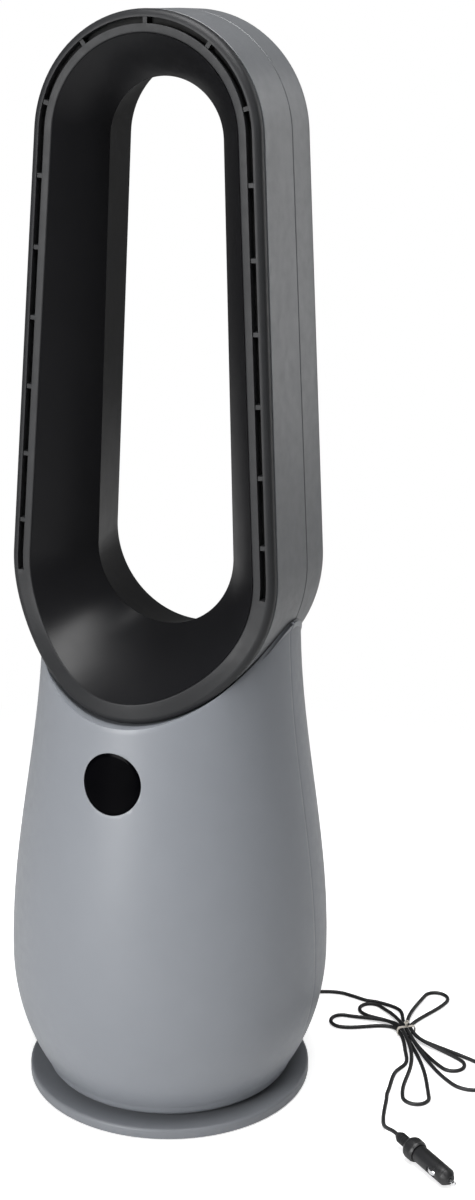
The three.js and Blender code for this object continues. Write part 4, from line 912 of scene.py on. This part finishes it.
def makeWindow():
    rings, around = 16, 96
    front, back = [], []
    for ringIndex in range(rings + 1):
        share = ringIndex / rings
        radius = display["window"] * share
        drop = 0.35 * mm * max(0.0, (share - 0.94) / 0.06) ** 2
        for index in range(around):
            angle = 2 * math.pi * index / around
            x, z = radius * math.cos(angle), display["height"] + radius * math.sin(angle)
            front.append(onBody(x, z, -1, 0.15 * mm + drop))
            back.append(onBody(x, z, -1, display["wall"]))
    rows = rings + 1
    faces = gridFaces(rows, around, False, True) + gridFaces(rows, around, False, True, rows * around)
    last = rings * around
    for index in range(around):
        beside = (index + 1) % around
        behind = last + rows * around
        faces.append([last + index, last + beside, behind + beside, behind + index])
    return meshPiece("displayWindowFine", front + back, faces, "display_gloss", sharp=50)


place(makeWindow(), "upper", "display_gloss", "display_window")


def curvedBar(left, right, low, high, sink, deep, levels, widths=2):
    # A bar that follows the body's rear, as a closed plate.
    heights = np.linspace(low, high, levels)
    acrosses = np.linspace(left, right, widths)
    front = np.array([[onBody(x, z, 1, sink) for x in acrosses] for z in heights])
    back = np.array([[onBody(x, z, 1, sink + deep) for x in acrosses] for z in heights])
    return slab(front, back)


def makeGrille():
    gap = 0.3 * mm
    wide, bottom, top, corner = (grille[key] for key in ("halfWidth", "low", "high", "corner"))
    outer = roundedRectangle(wide - gap, bottom + gap, top - gap, corner)
    edge = grille["edge"]
    inner = roundedRectangle(wide - edge, bottom + edge, top - edge, corner - edge)
    spread = []
    for (x1, z1), (x2, z2) in zip(outer, outer[1:] + outer[:1]):
        count = max(1, round(math.hypot(x2 - x1, z2 - z1) / (7 * mm)))
        spread.append(count)
    rails = []
    edges = ((outer, 0.6), (outer, 0.1), (inner, 0.1), (inner, 0.6), (inner, 3), (outer, 3))
    for loop, sink in edges:
        points = []
        for index, count in enumerate(spread):
            x1, z1 = loop[index]
            x2, z2 = loop[(index + 1) % len(loop)]
            for share in np.arange(count) / count:
                points.append(onBody(x1 + (x2 - x1) * share, z1 + (z2 - z1) * share, 1, sink * mm))
        rails.append(np.array(points))
    parts = [loft(rails)]
    low, high = bottom + edge, top - edge
    reach = wide - edge
    corner -= edge
    count = int(reach / grille["pitch"])
    for index in range(-count, count + 1):
        x = index * grille["pitch"]
        over = max(0.0, abs(x) - (reach - corner))
        trim = corner - math.sqrt(max(0.0, corner**2 - over**2)) - 1 * mm
        half = grille["bar"] / 2
        parts.append(curvedBar(x - half, x + half, low + trim, high - trim, 0.9 * mm, grille["deep"], 24))
    for height, tall in grille["rails"]:
        end = reach + 1 * mm
        parts.append(curvedBar(-end, end, height - tall / 2, height + tall / 2, 1.2 * mm, 2 * mm, 3, 48))
    return softened(meshPiece("intakeGrilleFine", *gathered(parts), "grille_grey"), 0.25 * mm, 50, 1)


place(makeGrille(), "upper", "grille_grey", "intake_grille")
print("body made")


# Base

base = {
    "radius": 137 * mm,
    "top": 11 * mm,
    "low": 1.2 * mm,
    "edge": 2.5 * mm,
    "wall": 2.5 * mm,
    "bore": 13.2 * mm,
}


def makeBase():
    radius, top, low, edge = base["radius"], base["top"], base["low"], base["edge"]
    wall = base["wall"]
    profile = [(base["bore"], top), (0.06, top), (0.115, top), (radius - 8 * mm, top), (radius - edge, top)]
    profile += [(radius - edge + a, top - edge + b) for a, b in arc(0, 0, edge, 90, 0, 6)][1:]
    profile += [(radius, low + 1 * mm), (radius - 0.3 * mm, low + 0.3 * mm), (radius - 1 * mm, low)]
    inside = radius - wall - 1 * mm
    profile += [(inside, low), (inside, top - wall), (base["bore"], top - wall)]
    return meshPiece("baseCoverFine", *lathe(profile, 192), "base_grey")


place(makeBase(), "base", "base_grey", "base_cover")
print("base made")

# Plug, in its own frame: X runs from the cord to the pin

alongX = Matrix.Rotation(math.pi / 2, 4, "Y")


def plugPiece(name, profile, slotName, body, *replaced, segments=64, ripple=None):
    # A closed profile of (radius, distance along the plug), in millimetres.
    made = [(radius * mm, distance * mm) for radius, distance in profile]
    if ripple:
        ripple = (ripple[0], ripple[1] * mm, ripple[2])
    piece = meshPiece(name, *lathe(made, segments, ripple), slotName)
    piece.data.transform(alongX)
    piece.data.transform(plugMatrix)
    return place(piece, body, slotName, *replaced)


def ridged(start, end, low, high, count):
    # Ribs along a sleeve: radius falls into a narrow valley between them.
    points = []
    for index in range(count):
        at = start + (end - start) * index / count
        step = (end - start) / count
        for radius, share in ((high, 0.1), (high, 0.66), (low, 0.74), (low, 0.96)):
            points.append((radius, at + share * step))
    return points


axis = 0.02  # the least radius of a turned piece that is closed on its axis
barrelEnd = gripEnd + plug["barrel"]
nose = barrelEnd + 0.3
noseEnd = nose + 6
plugPiece(
    "plugBootFine",
    [(axis, 0), (2.9, 0), (3.4, 0.4), (5.1, 4), *ridged(4.4, 16.5, 4.5, 5.2, 5), (5.2, 17.6), (axis, 17.6)],
    "cord_black",
    "base",
    "plug_boot",
    segments=48,
)
gripProfile = [(axis, 18), (7.6, 18), (8.6, 18.5), (9.9, 20.4), (10.3, 21.4)]
gripProfile += [(10.35, 22), (10.35, 28.4), (10.3, 29), (9.9, 30.2), (9, 31.7), (axis, 31.7)]
gripRidges = ((5, 6), 0.14, 36)
plugPiece("plugGripFine", gripProfile, "plug_black", "base", "plug_grip", segments=144, ripple=gripRidges)
barrelProfile = [(axis, gripEnd), (7.6, gripEnd), (8.2, gripEnd + 0.6), (8.2, barrelEnd - 10)]
barrelProfile += [(7.95, barrelEnd - 9.7), (7.95, barrelEnd - 9.2), (8.2, barrelEnd - 8.9)]
barrelProfile += [(8.2, barrelEnd - 0.4), (8, barrelEnd)]
barrelProfile += [(3.3, barrelEnd), (3.3, barrelEnd - 26), (axis, barrelEnd - 26)]
barrelShape = lathe([(radius * mm, distance * mm) for radius, distance in barrelProfile], 96)
barrel = meshPiece("plugBarrelFine", *barrelShape, "plug_black")
barrel.data.transform(alongX)
contact = {
    "middle": gripEnd + plug["barrel"] * 0.68,
    "length": 11,
    "width": 4.4,
    "deep": 2.7,
    "pocket": 3.8,
}


def pocket(side):
    half = contact["length"] / 2 + 0.3
    wide = contact["width"] / 2 + 0.3
    floor = plug["barrelRadius"] - contact["pocket"]
    outline = [(-half, -wide), (half, -wide), (half, wide), (-half, wide)]
    grid = np.array(
        [[((contact["middle"] + x) * mm, side * y * mm, z * mm) for x, z in outline] for y in (floor, 12)]
    )
    faces = gridFaces(2, 4, False, True) + [[0, 1, 2, 3], [7, 6, 5, 4]]
    return meshPiece("pocket", grid.reshape(-1, 3), faces, "plug_black")


cutBy(barrel, pocket(1), pocket(-1))
barrel.data.transform(plugMatrix)
place(softened(barrel, 0.15 * mm), "base", "plug_black", "plug_barrel")


def makeContact(side, name, node, body):
    # A sprung strip: two ends in the barrel and a smooth bow between them.
    rows, columns = 24, 7
    front, back = [], []
    for row in range(rows + 1):
        share = row / rows
        bow = math.sin(math.pi * share) ** 1.2
        x = contact["middle"] + contact["length"] * (share - 0.5)
        y = plug["barrelRadius"] - 1.1 + 1.9 * bow
        line = []
        for column in range(columns):
            across = column / (columns - 1) - 0.5
            line.append((x, y - 0.5 * (2 * across) ** 4, contact["width"] * across))
        front.append(line)
        back.append([(px, plug["barrelRadius"] - contact["deep"], pz) for px, _, pz in line])
    front, back = (np.array(g) * mm * np.array([1, side, 1]) for g in (front, back))
    strip = meshPiece(name, *slab(front, back), "contact_chrome")
    strip.data.transform(plugMatrix)
    place(softened(strip, 0.12 * mm), body, "contact_chrome", node)


makeContact(1, "contactLeftFine", "plug_contact_left", "contact_left")
makeContact(-1, "contactRightFine", "plug_contact_right", "contact_right")
noseProfile = [(2.1, noseEnd), (4.2, noseEnd), (4.7, noseEnd - 0.4), (8, nose + 0.9)]
noseProfile += [(8.2, nose + 0.4), (8, nose), (3.3, nose), (3.3, noseEnd - 2), (2.1, noseEnd - 2)]
plugPiece("plugNoseFine", noseProfile, "plug_black", "base", "plug_nose_cap", segments=72)
pinTip = noseEnd + 7
pinProfile = [(axis, pinTip)] + [(a, pinTip - 1.2 + b) for a, b in arc(0.5, 0, 1.2, 80, 0, 6)]
pinProfile += [(1.7, noseEnd - 2.3), (3, noseEnd - 2.3), (3, noseEnd - 3.6), (axis, noseEnd - 3.6)]
plugPiece("plugPinFine", pinProfile, "contact_chrome", "plug_pin", "plug_pin", segments=40)
print("plug made")


# Grommet and tie

out = Vector((math.cos(exitAngle), math.sin(exitAngle), 0))
grommetProfile = [(2.0, -5.5), (2.9, -5.5), (2.9, 0.4), (4.2, 0.4), (4.4, 0.8), (4.4, 2.6), (4.2, 3)]
grommetProfile += ridged(4.4, 18, 2.7, 3.7, 6) + [(2.9, 19), (2.9, 21.7), (2.7, 22), (2.0, 22)]
grommetShape = lathe([(radius * mm, distance * mm) for radius, distance in grommetProfile], 40)
grommet = meshPiece("grommetFine", *grommetShape, "cord_black")
grommet.data.transform(alongX)
exitPlace = out * exitDistance["edge"] * mm + Vector((0, 0, 6 * mm))
grommet.data.transform(Matrix.Translation(exitPlace) @ Matrix.Rotation(exitAngle, 4, "Z"))
place(grommet, "base", "cord_black", "cord_grommet")
tie = {"reach": 9.1, "low": 1.1, "high": 9.3, "wide": 3.2, "corner": 2.6}


def makeTie():
    # A flat band round the strands, and its two ends twisted together above it.
    def loop(grow):
        corner = tie["corner"] + grow
        points = []
        for x, z, start in ((1, 1, 0), (-1, 1, 90), (-1, -1, 180), (1, -1, 270)):
            level = tie["high"] if z > 0 else tie["low"]
            centre = (x * (tie["reach"] - tie["corner"]), level - z * tie["corner"])
            points += arc(*centre, corner, start, start + 90, 8)
        return points
    rails = []
    half = tie["wide"] / 2
    section = ((0, -half), (0, half), (0.5, half), (0.8, half - 0.5), (0.8, -half + 0.5), (0.5, -half))
    for grow, along in section:
        rails.append(np.array([hankPlace(along, across, height) for across, height in loop(grow)]) * mm)
    parts = [loft(rails)]
    for phase in (0, math.pi):
        points = []
        for step in range(49):
            share = step / 48
            turn = phase + share * math.pi * 5
            spread = 0.75 + 2.2 * smoothShare((share - 0.72) / 0.28)
            rise = tie["high"] + 0.6 + 5.2 * share
            points.append(hankPlace(spread * math.cos(turn), spread * math.sin(turn), rise) * mm)
        parts.append(tube(points, 0.62 * mm, 10))
    return meshPiece("tieFine", *gathered(parts), "tie_pale")


place(makeTie(), "base", "tie_pale", "hank_tie")
print("grommet and tie made")
onCord = ["grommetFine", "tieFine", "plugBootFine", "plugGripFine", "plugBarrelFine", "plugNoseFine"]
onCord += ["plugPinFine", "contactLeftFine", "contactRightFine", "plug_fuse"]


# Floor, light and background

stage = {"wide": 3.0, "fade": (0.42, 1.05), "glow": 0.6}


def makeFloor():
    mesh = bpy.data.meshes.new("floor")
    half = stage["wide"]
    corners = [(-half, -half, 0), (half, -half, 0), (half, half, 0), (-half, half, 0)]
    mesh.from_pydata(corners, [], [(0, 1, 2, 3)])
    floor = bpy.data.objects.new("floor", mesh)
    collection.objects.link(floor)
    made = bpy.data.materials.new("floorWhite")
    made.use_nodes = True
    nodes, links = made.node_tree.nodes, made.node_tree.links
    shader, output = nodes["Principled BSDF"], nodes["Material Output"]
    shader.inputs["Base Color"].default_value = (0.88, 0.88, 0.88, 1)
    shader.inputs["Roughness"].default_value = 0.7
    shader.inputs["Specular IOR Level"].default_value = 0.2
    path = nodes.new("ShaderNodeLightPath")
    glow = nodes.new("ShaderNodeMath")
    glow.operation = "MULTIPLY"
    glow.inputs[1].default_value = stage["glow"]
    links.new(path.outputs["Is Camera Ray"], glow.inputs[0])
    shader.inputs["Emission Color"].default_value = (1, 1, 1, 1)
    links.new(glow.outputs[0], shader.inputs["Emission Strength"])
    white = nodes.new("ShaderNodeEmission")
    where = nodes.new("ShaderNodeTexCoord")
    length = nodes.new("ShaderNodeVectorMath")
    length.operation = "LENGTH"
    links.new(where.outputs["Object"], length.inputs[0])
    fade = nodes.new("ShaderNodeMapRange")
    fade.interpolation_type = "SMOOTHSTEP"
    fade.inputs["From Min"].default_value, fade.inputs["From Max"].default_value = stage["fade"]
    links.new(length.outputs["Value"], fade.inputs["Value"])
    seen = nodes.new("ShaderNodeMath")
    seen.operation = "MULTIPLY"
    links.new(fade.outputs["Result"], seen.inputs[0])
    links.new(path.outputs["Is Camera Ray"], seen.inputs[1])
    mix = nodes.new("ShaderNodeMixShader")
    links.new(seen.outputs[0], mix.inputs[0])
    links.new(shader.outputs[0], mix.inputs[1])
    links.new(white.outputs[0], mix.inputs[2])
    links.new(mix.outputs[0], output.inputs["Surface"])
    mesh.materials.append(made)


makeFloor()
world = bpy.data.worlds.new("studio")
scene.world = world
world.use_nodes = True
nodes, links = world.node_tree.nodes, world.node_tree.links
room = nodes["Background"]
backdrop = nodes.new("ShaderNodeBackground")
backdrop.inputs["Color"].default_value = (1, 1, 1, 1)
heading = nodes.new("ShaderNodeTexCoord")
split = nodes.new("ShaderNodeSeparateXYZ")
links.new(heading.outputs["Generated"], split.inputs[0])
sides = nodes.new("ShaderNodeMapRange")
sides.interpolation_type = "SMOOTHSTEP"
sides.inputs["From Min"].default_value = 0.2
sides.inputs["From Max"].default_value = 0.85
sides.inputs["To Min"].default_value = 0.14
sides.inputs["To Max"].default_value = 1.15
links.new(split.outputs["Y"], sides.inputs["Value"])
links.new(sides.outputs["Result"], room.inputs["Strength"])
path = nodes.new("ShaderNodeLightPath")
mix = nodes.new("ShaderNodeMixShader")
links.new(path.outputs["Is Camera Ray"], mix.inputs[0])
links.new(room.outputs[0], mix.inputs[1])
links.new(backdrop.outputs[0], mix.inputs[2])
links.new(mix.outputs[0], nodes["World Output"].inputs["Surface"])


def softLight(name, place, target, size, power):
    data = bpy.data.lights.new(name, "AREA")
    data.shape = "RECTANGLE"
    data.size, data.size_y = size
    data.energy = power
    light = bpy.data.objects.new(name, data)
    collection.objects.link(light)
    light.location = place
    light.rotation_euler = (Vector(target) - Vector(place)).to_track_quat("-Z", "Y").to_euler()


softLight("keyLight", (-0.65, -2.45, 1.0), (0, 0, 0.35), (0.9, 1.6), 58)
softLight("topLight", (0.3, -0.3, 2.4), (0, 0, 0.7), (1.4, 1.2), 50)
softLight("rearLight", (1.05, 1.8, 1.0), (0, 0, 0.55), (0.8, 1.6), 7)
scene.view_settings.view_transform = "Standard"
print("floor and light made")
